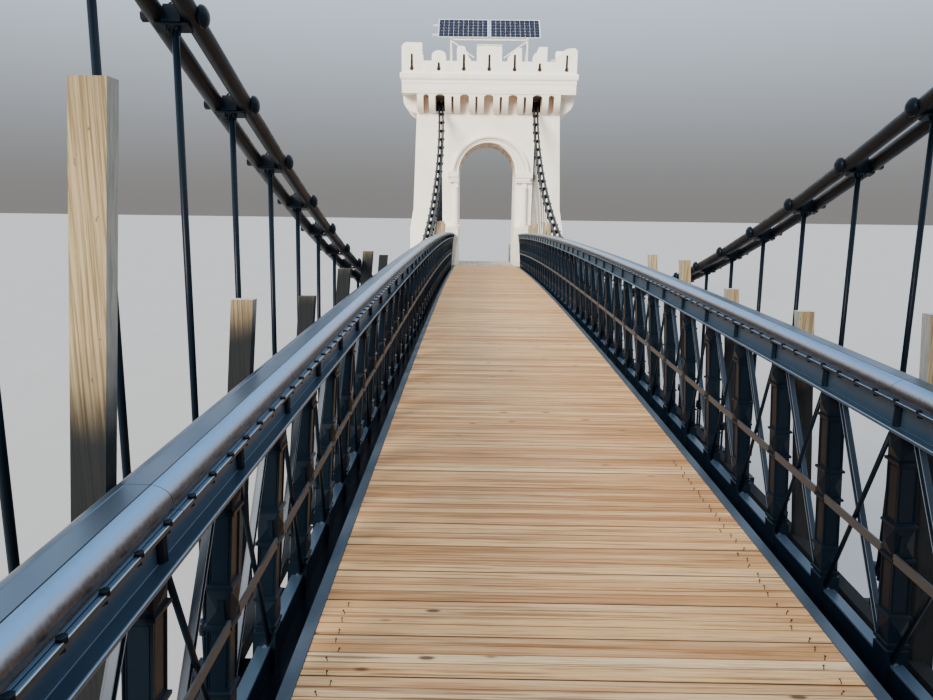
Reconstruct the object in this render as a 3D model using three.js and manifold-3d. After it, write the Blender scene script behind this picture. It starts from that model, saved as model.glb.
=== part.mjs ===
// Suspension footbridge: a timber deck between two crenellated masonry gate towers, hung by
// rods from twin cables on each side, with iron lattice railings, cast saddles in the towers,
// backstays to anchor blocks, and timber posts still standing outside the railings.
// Millimetres, +Z up. The deck runs along Y, X is across it, and Z is 0 under the foundations.

import * as THREE from "three";
import { mergeVertices } from "three/addons/utils/BufferGeometryUtils.js";
import Module from "manifold-3d";

const wasm = await Module();
wasm.setup();

// Driving dimensions: the span and the deck
const BAY = 528;
const BAYS = 50;
// The posts and hangers on the right stand a little nearer the first tower than those on the left
const LINE_SHIFT = { left: 0, right: -45 };
const HALF_TRUSS = (BAY * BAYS) / 2;
const SPAN_HALF = 13500;
const DECK_END_Y = 13480;
const TOWER_FACE = 13700;
const DECK_END_Z = 3000;
const CAMBER = 295;
const DECK_HALF_WIDTH = 1050;
const BOARD_THICK = 45;
const SEAT = 0.3;

// Driving dimensions: the railings
const RAIL_X = 1165;
const RAIL_TOP = 1120;
const RAIL_END_Y = 13450;
const POST_SIZE = 83;
const CAP_WIDTH = 196;
const CAP_HEIGHT = 70;
const CHORD_DEPTH = 103;
// The posts lean: their heads are further in than their feet, by this share of the height
const POST_LEAN = 0.069;

// Driving dimensions: the cables
const CABLE_RADIUS = 33;
const CABLE_SPACING = 118;
const CABLE_MID_X = 1455;
const CABLE_BOW = 60;
const CABLE_TOWER_X = 1600;
const CABLE_LOW_Z = 3775;
const CABLE_FACE_Z = 8320;
const SADDLE_RADIUS = 900;
const HANGER_FOOT_X = 1475;
const HANGER_SIZE = 28;
const ANCHOR_Y = 19150;
const ANCHOR_Z = 3260;

// Driving dimensions: the towers
const TOWER_DEPTH = 1800;
const TOWER_HALF_FOOT = 2640;
const TOWER_HALF_MID = 2520;
const TOWER_HALF_TOP = 2385;
const FLARE_FOOT_Z = 4250;
const FLARE_TOP_Z = 4950;
const ARCH_HALF = 967;
const ARCH_SPRING_Z = 6170;
const BODY_TOP_Z = 8650;
const CORBEL_FOOT_Z = 8090;
const OVERHANG = 475;
const SLAB_THICK = 140;
const WALL_THICK = 340;
const CRENEL_Z = 9660;
const MERLON_Z = 10110;
const CORNICE_Z = 9080;
const CORNICE_HEIGHT = 220;
const CORNICE_PROUD = 60;
const SLOT_WIDTH = 310;

// Materials
const finish = (color, roughness, metalness = 0) =>
  new THREE.MeshStandardMaterial({ color, roughness, metalness });
const BLACK_IRON = finish(0x20262d, 0.42, 0.6);
const CAP_IRON = finish(0x4b5560, 0.38, 0.6);
const ANGLE_IRON = finish(0x4a5c6c, 0.45, 0.6);
const LARCH = finish(0xc0936a, 0.7);
const OLD_TIMBER = finish(0x7a6650, 0.85);
const LIMEWASH = finish(0xefe6d4, 0.9);
const RUBBLE = finish(0xb9aa92, 0.95);
const PANEL_BLUE = finish(0x1c2736, 0.2, 0.3);
const STEEL = finish(0xc9ccd0, 0.4, 0.8);
const CABINET_WHITE = finish(0xe8ebee, 0.5, 0.2);

// Heights along the cambered deck and along the main cable
const deckZ = (y) => DECK_END_Z + CAMBER * (1 - (y / SPAN_HALF) ** 2);
const cableZ = (y) => CABLE_LOW_Z + (CABLE_FACE_Z - CABLE_LOW_Z) * (y / TOWER_FACE) ** 2;
const cableX = (y) => {
  const share = Math.min(1, Math.abs(y) / TOWER_FACE);
  return CABLE_MID_X - CABLE_BOW * share ** 2 + (CABLE_TOWER_X - CABLE_MID_X + CABLE_BOW) * share ** 6;
};
const lineY = (k) => -HALF_TRUSS + k * BAY;
const shiftOf = (side) => (side < 0 ? LINE_SHIFT.left : LINE_SHIFT.right);

// Shapes
function box(sizeX, sizeY, sizeZ, x, y, z) {
  const shape = new THREE.BoxGeometry(sizeX, sizeY, sizeZ);
  shape.translate(x, y, z);
  return shape;
}

// An outline in X and Z, given in those axes, made thick along Y from y0 to y1
function plateAlongY(shape, y0, y1, curveSegments = 12) {
  const solid = new THREE.ExtrudeGeometry(shape, { depth: y1 - y0, bevelEnabled: false, curveSegments });
  solid.rotateX(Math.PI / 2);
  solid.translate(0, y1, 0);
  return solid;
}

// An outline in Y and Z made thick along X from x0 to x1
function plateAlongX(points, x0, x1) {
  const shape = new THREE.Shape(points.map(([y, z]) => new THREE.Vector2(y, z)));
  const solid = new THREE.ExtrudeGeometry(shape, { depth: x1 - x0, bevelEnabled: false });
  solid.rotateY(Math.PI / 2);
  solid.rotateX(Math.PI / 2);
  solid.translate(x0, 0, 0);
  return solid;
}

// A bar of even section between two points in space
function bar(from, to, width, depth, up = new THREE.Vector3(1, 0, 0)) {
  const a = new THREE.Vector3(...from);
  const b = new THREE.Vector3(...to);
  const along = b.clone().sub(a);
  const length = along.length();
  along.normalize();
  const side = new THREE.Vector3().crossVectors(along, up).normalize();
  const face = new THREE.Vector3().crossVectors(side, along).normalize();
  const solid = new THREE.BoxGeometry(width, depth, length);
  const turn = new THREE.Matrix4().makeBasis(side, face, along);
  if (turn.determinant() < 0) turn.makeBasis(side.negate(), face, along);
  solid.applyMatrix4(turn);
  const middle = a.add(b).multiplyScalar(0.5);
  solid.translate(middle.x, middle.y, middle.z);
  return solid;
}

// A square rod with level ends and a crossbar at its head, leaning in X from its foot to its head
function hangerRod(foot, head, size, crossbar, barThick) {
  const height = head[2] - foot[2];
  const half = size / 2;
  const rod = plateAlongY(new THREE.Shape([
    [-half, 0], [half, 0], [half, height - barThick], [crossbar / 2, height - barThick],
    [crossbar / 2, height], [-crossbar / 2, height], [-crossbar / 2, height - barThick],
    [-half, height - barThick],
  ].map(([x, z]) => new THREE.Vector2(x, z))), -half, half);
  const lean = (head[0] - foot[0]) / height;
  rod.applyMatrix4(new THREE.Matrix4().set(1, 0, lean, 0, 0, 1, 0, 0, 0, 0, 1, 0, 0, 0, 0, 1));
  rod.translate(...foot);
  return rod;
}

// A section swept through frames: each frame gives the ring of points of the section there
function loft(rings) {
  const count = rings[0].length;
  const places = rings.flat(2);
  const faces = [];
  for (let i = 0; i + 1 < rings.length; i += 1) {
    for (let j = 0; j < count; j += 1) {
      const a = i * count + j;
      const b = i * count + ((j + 1) % count);
      faces.push(a, b, b + count, a, b + count, a + count);
    }
  }
  const flat = rings[0].map((p) => new THREE.Vector2(p[0], p[2]));
  const last = (rings.length - 1) * count;
  for (const [a, b, c] of THREE.ShapeUtils.triangulateShape(flat, [])) {
    faces.push(a, b, c, last + a, last + c, last + b);
  }
  const solid = new THREE.BufferGeometry();
  solid.setAttribute("position", new THREE.Float32BufferAttribute(places, 3));
  solid.setIndex(faces);
  return solid;
}

// The section's points (x, z) carried along Y at the given stations, following heightAt(y)
function sweepAlongY(section, stations, heightAt) {
  const clockwise = THREE.ShapeUtils.area(section.map(([x, z]) => new THREE.Vector2(x, z))) < 0;
  const ring = clockwise ? section : [...section].reverse();
  const solid = loft(stations.map((y) => ring.map(([x, z]) => [x, y, z + heightAt(y)])));
  return solid;
}

function solidOf(geometry) {
  const plain = geometry.clone();
  plain.deleteAttribute("normal");
  plain.deleteAttribute("uv");
  const welded = mergeVertices(plain, 1e-3);
  const mesh = new wasm.Mesh({
    numProp: 3,
    vertProperties: new Float32Array(welded.attributes.position.array),
    triVerts: new Uint32Array(welded.index.array),
  });
  const solid = new wasm.Manifold(mesh);
  if (solid.volume() > 0) return solid;
  const turned = new Uint32Array(welded.index.array.length);
  for (let i = 0; i < turned.length; i += 3) {
    turned[i] = welded.index.array[i];
    turned[i + 1] = welded.index.array[i + 2];
    turned[i + 2] = welded.index.array[i + 1];
  }
  return new wasm.Manifold(new wasm.Mesh({
    numProp: 3,
    vertProperties: new Float32Array(welded.attributes.position.array),
    triVerts: turned,
  }));
}

function geometryOf(solid) {
  const mesh = solid.getMesh();
  const geometry = new THREE.BufferGeometry();
  geometry.setAttribute("position", new THREE.BufferAttribute(new Float32Array(mesh.vertProperties), 3));
  geometry.setIndex(new THREE.BufferAttribute(new Uint32Array(mesh.triVerts), 1));
  return geometry;
}

function join(shapes) {
  let solids = shapes.map(solidOf);
  while (solids.length > 1) {
    const next = [];
    for (let i = 0; i < solids.length; i += 2) {
      next.push(i + 1 < solids.length ? solids[i].add(solids[i + 1]) : solids[i]);
    }
    solids = next;
  }
  return geometryOf(solids[0]);
}

function cut(shape, tools) {
  let solid = solidOf(shape);
  for (const tool of tools) solid = solid.subtract(solidOf(tool));
  return geometryOf(solid);
}

const bridge = new THREE.Group();
function place(name, geometry, material) {
  const mesh = new THREE.Mesh(geometry, material);
  mesh.name = name;
  bridge.add(mesh);
}

const everyBay = Array.from({ length: BAYS + 1 }, (_, k) => lineY(k));
// The swept pieces bend between the bay lines, once in two bays
const bends = everyBay.filter((_, k) => k % 2 === 0 && k < BAYS).map((y) => y + BAY / 2);

// The deck's height on the straight lengths between the bends
function straightDeckZ(y) {
  const places = [-RAIL_END_Y, ...bends, RAIL_END_Y];
  const next = Math.max(1, places.findIndex((place, i) => place >= y || i === places.length - 1));
  const [from, to] = [places[next - 1], places[next]];
  return deckZ(from) + ((deckZ(to) - deckZ(from)) * (y - from)) / (to - from);
}

const ends = [["near", -1], ["far", 1]];
const sides = [["left", -1], ["right", 1]];

// Abutments: rubble blocks under the towers, with a shelf that carries the deck's end beam
const ABUTMENT_HALF_WIDTH = 2850;
const SHELF_REACH = 480;
const BACK_REACH = 350;
const THRESHOLD_Y = 13495;
const BEAM_TOP = BOARD_THICK + 85;
const BEAM_DEPTH = 140;
const SHELF_Z = deckZ(HALF_TRUSS) - BEAM_TOP - BEAM_DEPTH;

function abutment(end) {
  const inner = SPAN_HALF - SHELF_REACH;
  const outer = TOWER_FACE + TOWER_DEPTH + BACK_REACH;
  const block = plateAlongX([
    [inner, 0], [outer, 0], [outer, DECK_END_Z], [THRESHOLD_Y, DECK_END_Z], [THRESHOLD_Y, SHELF_Z],
    [inner, SHELF_Z],
  ], -ABUTMENT_HALF_WIDTH, ABUTMENT_HALF_WIDTH);
  if (end < 0) block.rotateZ(Math.PI);
  return block;
}

// Tower body: one mass of masonry with an arched passage, and a slot for each pair of cables
const BODY_FOOT_Z = DECK_END_Z + SEAT;
const RUN_OUT = 2;

function towerOutline() {
  const body = new THREE.Shape();
  body.moveTo(-TOWER_HALF_FOOT, BODY_FOOT_Z);
  body.lineTo(-ARCH_HALF, BODY_FOOT_Z);
  body.lineTo(-ARCH_HALF, ARCH_SPRING_Z);
  body.absarc(0, ARCH_SPRING_Z, ARCH_HALF, Math.PI, 0, true);
  body.lineTo(ARCH_HALF, BODY_FOOT_Z);
  body.lineTo(TOWER_HALF_FOOT, BODY_FOOT_Z);
  body.lineTo(TOWER_HALF_FOOT, FLARE_FOOT_Z);
  body.lineTo(TOWER_HALF_MID, FLARE_TOP_Z);
  body.lineTo(TOWER_HALF_TOP, BODY_TOP_Z);
  body.lineTo(-TOWER_HALF_TOP, BODY_TOP_Z);
  body.lineTo(-TOWER_HALF_MID, FLARE_TOP_Z);
  body.lineTo(-TOWER_HALF_FOOT, FLARE_FOOT_Z);
  return body;
}

const backSlope = (() => {
  const top = saddlePoint(0);
  return Math.atan2(top.z - ANCHOR_Z, ANCHOR_Y - top.y);
})();

// A point on the cable's bend over the saddle, at an angle from the top of the bend:
// below 0 on the span's side and above 0 on the backstay's side
function saddlePoint(angle) {
  const startY = TOWER_FACE + 100;
  const entry = Math.atan((2 * (CABLE_FACE_Z - CABLE_LOW_Z) * startY) / TOWER_FACE ** 2);
  const top = {
    y: startY + SADDLE_RADIUS * Math.sin(entry),
    z: cableZ(startY) + SADDLE_RADIUS * (1 - Math.cos(entry)),
  };
  return { y: top.y + SADDLE_RADIUS * Math.sin(angle), z: top.z - SADDLE_RADIUS * (1 - Math.cos(angle)) };
}

const ENTRY_ANGLE = Math.atan((2 * (CABLE_FACE_Z - CABLE_LOW_Z) * (TOWER_FACE + 100)) / TOWER_FACE ** 2);
const BACK_SLOT_HEIGHT = 400;
const BACK_SLOT_LENGTH = 1700;
const BACK_SLOT_START = 500;
const BACK_SLOT_DROP = 40;
const SLOT_FLOOR_Z = CORBEL_FOOT_Z + 60;

function towerBody(end) {
  const body = plateAlongY(towerOutline(), TOWER_FACE, TOWER_FACE + TOWER_DEPTH);
  const tools = [];
  for (const [, side] of sides) {
    const x = side * CABLE_TOWER_X;
    tools.push(box(SLOT_WIDTH, TOWER_DEPTH + 2 * RUN_OUT, BODY_TOP_Z - SLOT_FLOOR_Z + RUN_OUT,
      x, TOWER_FACE + TOWER_DEPTH / 2, (BODY_TOP_Z + SLOT_FLOOR_Z + RUN_OUT) / 2));
    const bendEnd = saddlePoint(backSlope);
    const tool = new THREE.BoxGeometry(SLOT_WIDTH, BACK_SLOT_LENGTH, BACK_SLOT_HEIGHT);
    tool.translate(0, BACK_SLOT_LENGTH / 2 - BACK_SLOT_START, 0);
    tool.rotateX(-backSlope);
    tool.translate(x, bendEnd.y, bendEnd.z - BACK_SLOT_DROP);
    tools.push(tool);
  }
  const solid = cut(body, tools);
  if (end < 0) solid.rotateZ(Math.PI);
  return solid;
}

// Arch surround on one face of a tower: engaged columns, capitals and a moulded archivolt.
// On the far tower's span face the ring and the columns stand off-centre.
const COLUMN_RADIUS = 95;
const COLUMN_X = 1170;
const PLINTH_HEIGHT = 1340;
const PLINTH_HALF_OUTER = 1435;
const BASE_HEIGHT = 160;
const CAPITAL_HEIGHT = 340;
const CAPITAL_OUTER = 1455;
const SURROUND_DEPTH = 100;
const RING_OUTER = 1290;
const RING_MID_Z = 6060;
const RING_LIP = 50;
const RING_LIP_DEPTH = 160;
const RING_EDGE = ARCH_HALF + 20;
const OFF_CENTRE = 110;
const CAPITAL_DEPTH = 190;
const BACKING_WIDTH = 150;
const BASE_WIDTH = 300;
const BASE_DEPTH = 184;
const PLINTH_DEPTH = 196;
const JAMB_GAP = 4;
const COLUMN_LAP = 10;

function archSurround(shift) {
  const ring = new THREE.Shape();
  ring.moveTo(shift + RING_OUTER, RING_MID_Z);
  ring.absarc(shift, RING_MID_Z, RING_OUTER, 0, Math.PI, false);
  ring.lineTo(-RING_EDGE, RING_MID_Z);
  ring.lineTo(-RING_EDGE, ARCH_SPRING_Z);
  ring.absarc(0, ARCH_SPRING_Z, RING_EDGE, Math.PI, 0, true);
  ring.lineTo(RING_EDGE, RING_MID_Z);
  const lip = new THREE.Shape();
  lip.moveTo(shift + RING_OUTER + RING_LIP, RING_MID_Z);
  lip.absarc(shift, RING_MID_Z, RING_OUTER + RING_LIP, 0, Math.PI, false);
  lip.lineTo(shift - RING_OUTER + RING_LIP, RING_MID_Z);
  lip.absarc(shift, RING_MID_Z, RING_OUTER - RING_LIP, Math.PI, 0, true);
  const pieces = [
    plateAlongY(ring, -SURROUND_DEPTH, 0, 8),
    plateAlongY(lip, -RING_LIP_DEPTH, 0, 8),
  ];
  const jamb = ARCH_HALF + JAMB_GAP;
  const plinthWidth = PLINTH_HALF_OUTER - jamb;
  const baseZ = DECK_END_Z + PLINTH_HEIGHT;
  const shaftZ = baseZ + BASE_HEIGHT;
  const shaft = ARCH_SPRING_Z - CAPITAL_HEIGHT - shaftZ;
  for (const [, side] of sides) {
    const x = side * COLUMN_X + shift;
    const column = new THREE.CylinderGeometry(COLUMN_RADIUS, COLUMN_RADIUS, shaft + 2 * COLUMN_LAP, 6);
    column.rotateX(Math.PI / 2);
    column.rotateZ(Math.PI / 6);
    column.translate(x, -SURROUND_DEPTH + COLUMN_LAP, shaftZ + shaft / 2);
    const capitalInner = side * jamb;
    const capitalOuter = side * CAPITAL_OUTER + shift;
    pieces.push(
      column,
      box(Math.abs(capitalOuter - capitalInner), CAPITAL_DEPTH, CAPITAL_HEIGHT,
        (capitalOuter + capitalInner) / 2, -CAPITAL_DEPTH / 2, ARCH_SPRING_Z - CAPITAL_HEIGHT / 2),
      box(BACKING_WIDTH, SURROUND_DEPTH, shaft + 3 * COLUMN_LAP, x, -SURROUND_DEPTH / 2, shaftZ + shaft / 2),
      box(BASE_WIDTH, BASE_DEPTH, BASE_HEIGHT, x, -BASE_DEPTH / 2, baseZ + BASE_HEIGHT / 2),
      box(plinthWidth, PLINTH_DEPTH, PLINTH_HEIGHT, side * (jamb + plinthWidth / 2), -PLINTH_DEPTH / 2,
        DECK_END_Z + SEAT + PLINTH_HEIGHT / 2),
    );
  }
  return join(pieces);
}

// Machicolation: paired corbels carrying the slab of the tower's terrace
const CORBEL_WIDTH = 210;
const CORBEL_NOSE = 120;
const CORBEL_STEPS = 3;
const CORBEL_SETBACK = 20;
const CORBEL_X = [260, 545, 1050, 1340, 1870, 2262];
const SIDE_CORBEL_Y = [260, 795];
const BATTER = (TOWER_HALF_MID - TOWER_HALF_TOP) / (BODY_TOP_Z - FLARE_TOP_Z);
const SIDE_FACE = TOWER_HALF_TOP + BATTER * (BODY_TOP_Z - CORBEL_FOOT_Z);
const HALF_TERRACE_X = TOWER_HALF_TOP + OVERHANG;
const HALF_TERRACE_Y = TOWER_DEPTH / 2 + OVERHANG;

// A corbel's side: a concave quarter curve from the wall out to the edge of the slab
function corbelProfile(reach) {
  const top = BODY_TOP_Z + 1;
  const foot = BODY_TOP_Z - CORBEL_NOSE;
  const points = [[-SEAT, top], [-reach, top]];
  for (let i = 0; i <= CORBEL_STEPS; i += 1) {
    const angle = (i / CORBEL_STEPS) * (Math.PI / 2);
    points.push([-SEAT - (reach - SEAT) * Math.cos(angle), foot - (foot - CORBEL_FOOT_Z) * Math.sin(angle)]);
  }
  return points;
}

function corbels() {
  const pieces = [box(2 * HALF_TERRACE_X, 2 * HALF_TERRACE_Y, SLAB_THICK, 0, 0,
    BODY_TOP_Z + SEAT + SLAB_THICK / 2)];
  const reach = OVERHANG - CORBEL_SETBACK;
  const rows = [[0, CORBEL_X, TOWER_DEPTH / 2], [Math.PI / 2, SIDE_CORBEL_Y, SIDE_FACE]];
  for (const [turn, places, wall] of rows) {
    for (const x of [...places, ...places.map((p) => -p)]) {
      for (const opposite of [0, Math.PI]) {
        const corbel = plateAlongX(corbelProfile(reach), -CORBEL_WIDTH / 2, CORBEL_WIDTH / 2);
        corbel.translate(x, -wall, 0);
        corbel.rotateZ(turn + opposite);
        pieces.push(corbel);
      }
    }
  }
  return join(pieces);
}

// Parapet: four walls around the terrace, with a cornice, merlons and a loop in each merlon
const PARAPET_FOOT = BODY_TOP_Z + SEAT + SLAB_THICK + SEAT;
const MERLON_X = [-2500, -1650, -830, 0, 830, 1650, 2500];
const MERLON_WIDTH = 460;
const CORNER_WIDTH = 660;
const MERLON_LAP = 10;
const INSIDE_HEIGHT = 3000;
const LOOP_WIDTH = 90;
const LOOP_FOOT_Z = 9370;
const LOOP_TOP_Z = 9880;
// Heights of the span-side merlons over the usual height, worn and broken by age on the far tower
const WORN_TOPS = [110, -125, 10, 20, -35, 5, -20];
const SOUND_TOPS = [40, 0, 0, 20, 0, 0, 40];

function parapet(end) {
  const tops = end > 0 ? WORN_TOPS : SOUND_TOPS;
  const outerX = HALF_TERRACE_X;
  const outerY = HALF_TERRACE_Y;
  const walls = box(2 * outerX, 2 * outerY, CRENEL_Z - PARAPET_FOOT, 0, 0, (CRENEL_Z + PARAPET_FOOT) / 2);
  const cornice = box(2 * (outerX + CORNICE_PROUD), 2 * (outerY + CORNICE_PROUD), CORNICE_HEIGHT,
    0, 0, CORNICE_Z + CORNICE_HEIGHT / 2);
  const pieces = [walls, cornice];
  for (const [, face] of ends) {
    MERLON_X.forEach((x, i) => {
      const corner = i === 0 || i === MERLON_X.length - 1;
      const width = corner ? CORNER_WIDTH : MERLON_WIDTH;
      const top = MERLON_Z + tops[face < 0 ? i : MERLON_X.length - 1 - i];
      const depth = corner ? CORNER_WIDTH : WALL_THICK;
      const atX = corner ? Math.sign(x) * (outerX - width / 2) : x;
      pieces.push(box(width, depth, top - CRENEL_Z + MERLON_LAP, atX, face * (outerY - depth / 2),
        (top + CRENEL_Z - MERLON_LAP) / 2));
    });
  }
  for (const [, face] of sides) {
    pieces.push(box(WALL_THICK, MERLON_WIDTH, MERLON_Z - CRENEL_Z + MERLON_LAP,
      face * (outerX - WALL_THICK / 2), 0, (MERLON_Z + CRENEL_Z - MERLON_LAP) / 2));
  }
  const inside = box(2 * (outerX - WALL_THICK), 2 * (outerY - WALL_THICK), INSIDE_HEIGHT,
    0, 0, PARAPET_FOOT + INSIDE_HEIGHT / 2 - MERLON_LAP);
  const tools = [inside];
  for (const [i, x] of MERLON_X.entries()) {
    const corner = i === 0 || i === MERLON_X.length - 1;
    const atX = corner ? Math.sign(x) * (outerX - CORNER_WIDTH / 2) : x;
    tools.push(box(LOOP_WIDTH, 4 * outerY, LOOP_TOP_Z - LOOP_FOOT_Z, atX, 0, (LOOP_TOP_Z + LOOP_FOOT_Z) / 2));
  }
  return cut(join(pieces), tools);
}

for (const [label, end] of ends) {
  const towerY = end * (TOWER_FACE + TOWER_DEPTH / 2);
  place(`abutment_${label}`, abutment(end), RUBBLE);
  place(`tower_${label}_body`, towerBody(end), LIMEWASH);
  const spanFace = archSurround(end > 0 ? OFF_CENTRE : 0);
  const outerFace = archSurround(0);
  if (end < 0) spanFace.rotateZ(Math.PI);
  spanFace.translate(0, end * (TOWER_FACE - SEAT), 0);
  if (end > 0) outerFace.rotateZ(Math.PI);
  outerFace.translate(0, end * (TOWER_FACE + TOWER_DEPTH + SEAT), 0);
  place(`tower_${label}_arch_span_side`, spanFace, LIMEWASH);
  place(`tower_${label}_arch_outer_side`, outerFace, LIMEWASH);
  const shelf = corbels();
  shelf.translate(0, towerY, 0);
  place(`tower_${label}_corbels`, shelf, LIMEWASH);
  const walls = parapet(end);
  walls.translate(0, towerY, 0);
  place(`tower_${label}_parapet`, walls, LIMEWASH);
}

// Saddles: cast blocks in the towers' slots, with a curved top that the cables lie over
const SADDLE_WIDTH = 290;
const SPAN_BEND_STEPS = 3;
const BACK_BEND_STEPS = 3;
const bendAngles = [
  ...Array.from({ length: SPAN_BEND_STEPS }, (_, i) => -ENTRY_ANGLE * (1 - i / SPAN_BEND_STEPS)),
  ...Array.from({ length: BACK_BEND_STEPS }, (_, i) => (backSlope * i) / BACK_BEND_STEPS),
];

function saddle(end, side) {
  const floor = SLOT_FLOOR_Z + SEAT;
  const drop = CABLE_RADIUS + SEAT;
  const points = bendAngles.map((angle) => {
    const p = saddlePoint(angle);
    return [p.y - drop * Math.sin(angle), p.z - drop * Math.cos(angle)];
  });
  points.push([points[points.length - 1][0], floor], [points[0][0], floor]);
  const block = plateAlongX(points, -SADDLE_WIDTH / 2, SADDLE_WIDTH / 2);
  if (end < 0) block.rotateZ(Math.PI);
  block.translate(side * CABLE_TOWER_X, 0, 0);
  return block;
}

// Cables: on each side twin tubes with a block at each hanger, and rods down to the deck
const TUBE_SIDES = 6;

// A six-sided tube through points, with the slope of its two end faces given
function tube(points, startSlope, endSlope) {
  const rings = points.map((p, i) => {
    const before = points[Math.max(0, i - 1)];
    const after = points[Math.min(points.length - 1, i + 1)];
    let slope = Math.atan2(after[2] - before[2], after[1] - before[1]);
    if (i === 0) slope = startSlope;
    if (i === points.length - 1) slope = endSlope;
    const ring = [];
    for (let j = 0; j < TUBE_SIDES; j += 1) {
      const angle = (-2 * Math.PI * (j + 0.5)) / TUBE_SIDES;
      const across = CABLE_RADIUS * Math.cos(angle);
      const rise = CABLE_RADIUS * Math.sin(angle);
      ring.push([p[0] + across, p[1] - rise * Math.sin(slope), p[2] + rise * Math.cos(slope)]);
    }
    return ring;
  });
  return loft(rings);
}

const HANGER_FOOT_DROP = BEAM_TOP - SEAT;
const CROSSBAR = 88;
const CROSSBAR_THICK = 16;
// The cable's height on its straight lengths
function straightCableZ(y) {
  const places = [-saddlePoint(-ENTRY_ANGLE).y, ...bends, saddlePoint(-ENTRY_ANGLE).y];
  const next = places.findIndex((place) => place > y);
  const [from, to] = [places[next - 1], places[next]];
  return cableZ(from) + ((cableZ(to) - cableZ(from)) * (y - from)) / (to - from);
}

function cable(side) {
  const pieces = [];
  for (const shift of [-CABLE_SPACING / 2, CABLE_SPACING / 2]) {
    const points = [];
    for (let i = SPAN_BEND_STEPS; i >= 0; i -= 1) {
      const p = saddlePoint(-ENTRY_ANGLE * (1 - i / SPAN_BEND_STEPS));
      points.push([side * CABLE_TOWER_X + shift, -p.y, p.z]);
    }
    for (const y of bends) points.push([side * cableX(y) + shift, y, cableZ(y)]);
    for (let i = 0; i <= SPAN_BEND_STEPS; i += 1) {
      const p = saddlePoint(-ENTRY_ANGLE * (1 - i / SPAN_BEND_STEPS));
      points.push([side * CABLE_TOWER_X + shift, p.y, p.z]);
    }
    points[0][1] += SEAT;
    points[points.length - 1][1] -= SEAT;
    pieces.push(tube(points, 0, 0));
  }
  for (const line of everyBay) {
    const y = line + shiftOf(side);
    const foot = [side * HANGER_FOOT_X, y, deckZ(y) - HANGER_FOOT_DROP];
    const head = [side * cableX(y), y, straightCableZ(y) + CROSSBAR_THICK / 2];
    pieces.push(hangerRod(foot, head, HANGER_SIZE, CROSSBAR, CROSSBAR_THICK));
  }
  return join(pieces);
}

// Backstays: the twin cables run down from the saddles to an anchor plate on each block
const ANCHOR_PLATE = 320;
const ANCHOR_PLATE_THICK = 50;
const LINK_LENGTH = 120;
const LINK_THICK = 40;
const LINK_AT = 0.12;

function backstay(end, side) {
  const pieces = [];
  for (const shift of [-CABLE_SPACING / 2, CABLE_SPACING / 2]) {
    const points = [];
    for (let i = 0; i <= BACK_BEND_STEPS; i += 1) {
      const p = saddlePoint((backSlope * i) / BACK_BEND_STEPS);
      points.push([shift, p.y + (i === 0 ? SEAT : 0), p.z]);
    }
    points.push([shift, ANCHOR_Y, ANCHOR_Z]);
    pieces.push(tube(points, 0, -backSlope));
  }
  const link = new THREE.BoxGeometry(CABLE_SPACING - CABLE_RADIUS / 2, LINK_LENGTH, LINK_THICK);
  link.rotateX(-backSlope);
  const head = saddlePoint(backSlope);
  link.translate(0, head.y + (ANCHOR_Y - head.y) * LINK_AT, head.z + (ANCHOR_Z - head.z) * LINK_AT);
  pieces.push(link);
  const plate = new THREE.BoxGeometry(ANCHOR_PLATE, ANCHOR_PLATE_THICK, ANCHOR_PLATE);
  plate.rotateX(-backSlope);
  plate.translate(0, ANCHOR_Y, ANCHOR_Z);
  pieces.push(plate);
  const whole = join(pieces);
  if (end < 0) whole.rotateZ(Math.PI);
  whole.translate(side * CABLE_TOWER_X, 0, 0);
  return whole;
}

// Anchor blocks: masonry blocks behind the towers, with a sloping face square to the backstay
const ANCHOR_WIDTH = 1000;
const ANCHOR_END_Y = 19850;
const ANCHOR_FACE_HALF = 330;

function anchorBlock(end, side) {
  const nudge = ANCHOR_PLATE_THICK / 2 + SEAT;
  const seatY = ANCHOR_Y + nudge * Math.cos(backSlope);
  const seatZ = ANCHOR_Z - nudge * Math.sin(backSlope);
  const rise = ANCHOR_FACE_HALF * Math.cos(backSlope);
  const run = ANCHOR_FACE_HALF * Math.sin(backSlope);
  const points = [
    [seatY - run, 0], [ANCHOR_END_Y, 0], [ANCHOR_END_Y, seatZ + rise], [seatY + run, seatZ + rise],
    [seatY - run, seatZ - rise],
  ];
  const block = plateAlongX(points, -ANCHOR_WIDTH / 2, ANCHOR_WIDTH / 2);
  if (end < 0) block.rotateZ(Math.PI);
  block.translate(side * CABLE_TOWER_X, 0, 0);
  return block;
}

for (const [name, side] of sides) {
  place(`cable_${name}`, cable(side), BLACK_IRON);
  for (const [label, end] of ends) {
    place(`saddle_${label}_${name}`, saddle(end, side), BLACK_IRON);
    place(`backstay_${label}_${name}`, backstay(end, side), BLACK_IRON);
    place(`anchor_block_${label}_${name}`, anchorBlock(end, side), RUBBLE);
  }
}

// Deck: boards on a stringer under their middle, which is notched over beams at the foot of the hangers
const DECK_STATIONS = [-DECK_END_Y, ...bends, DECK_END_Y];
const STRINGER_WIDTH = 140;
const NOTCH = 10;
const BEAM_HALF = 1530;
const BEAM_WIDTH = 120;

place("deck_planking", sweepAlongY([
  [-DECK_HALF_WIDTH + SEAT, -BOARD_THICK], [DECK_HALF_WIDTH - SEAT, -BOARD_THICK],
  [DECK_HALF_WIDTH - SEAT, 0], [-DECK_HALF_WIDTH + SEAT, 0],
], DECK_STATIONS, deckZ), LARCH);

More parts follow.
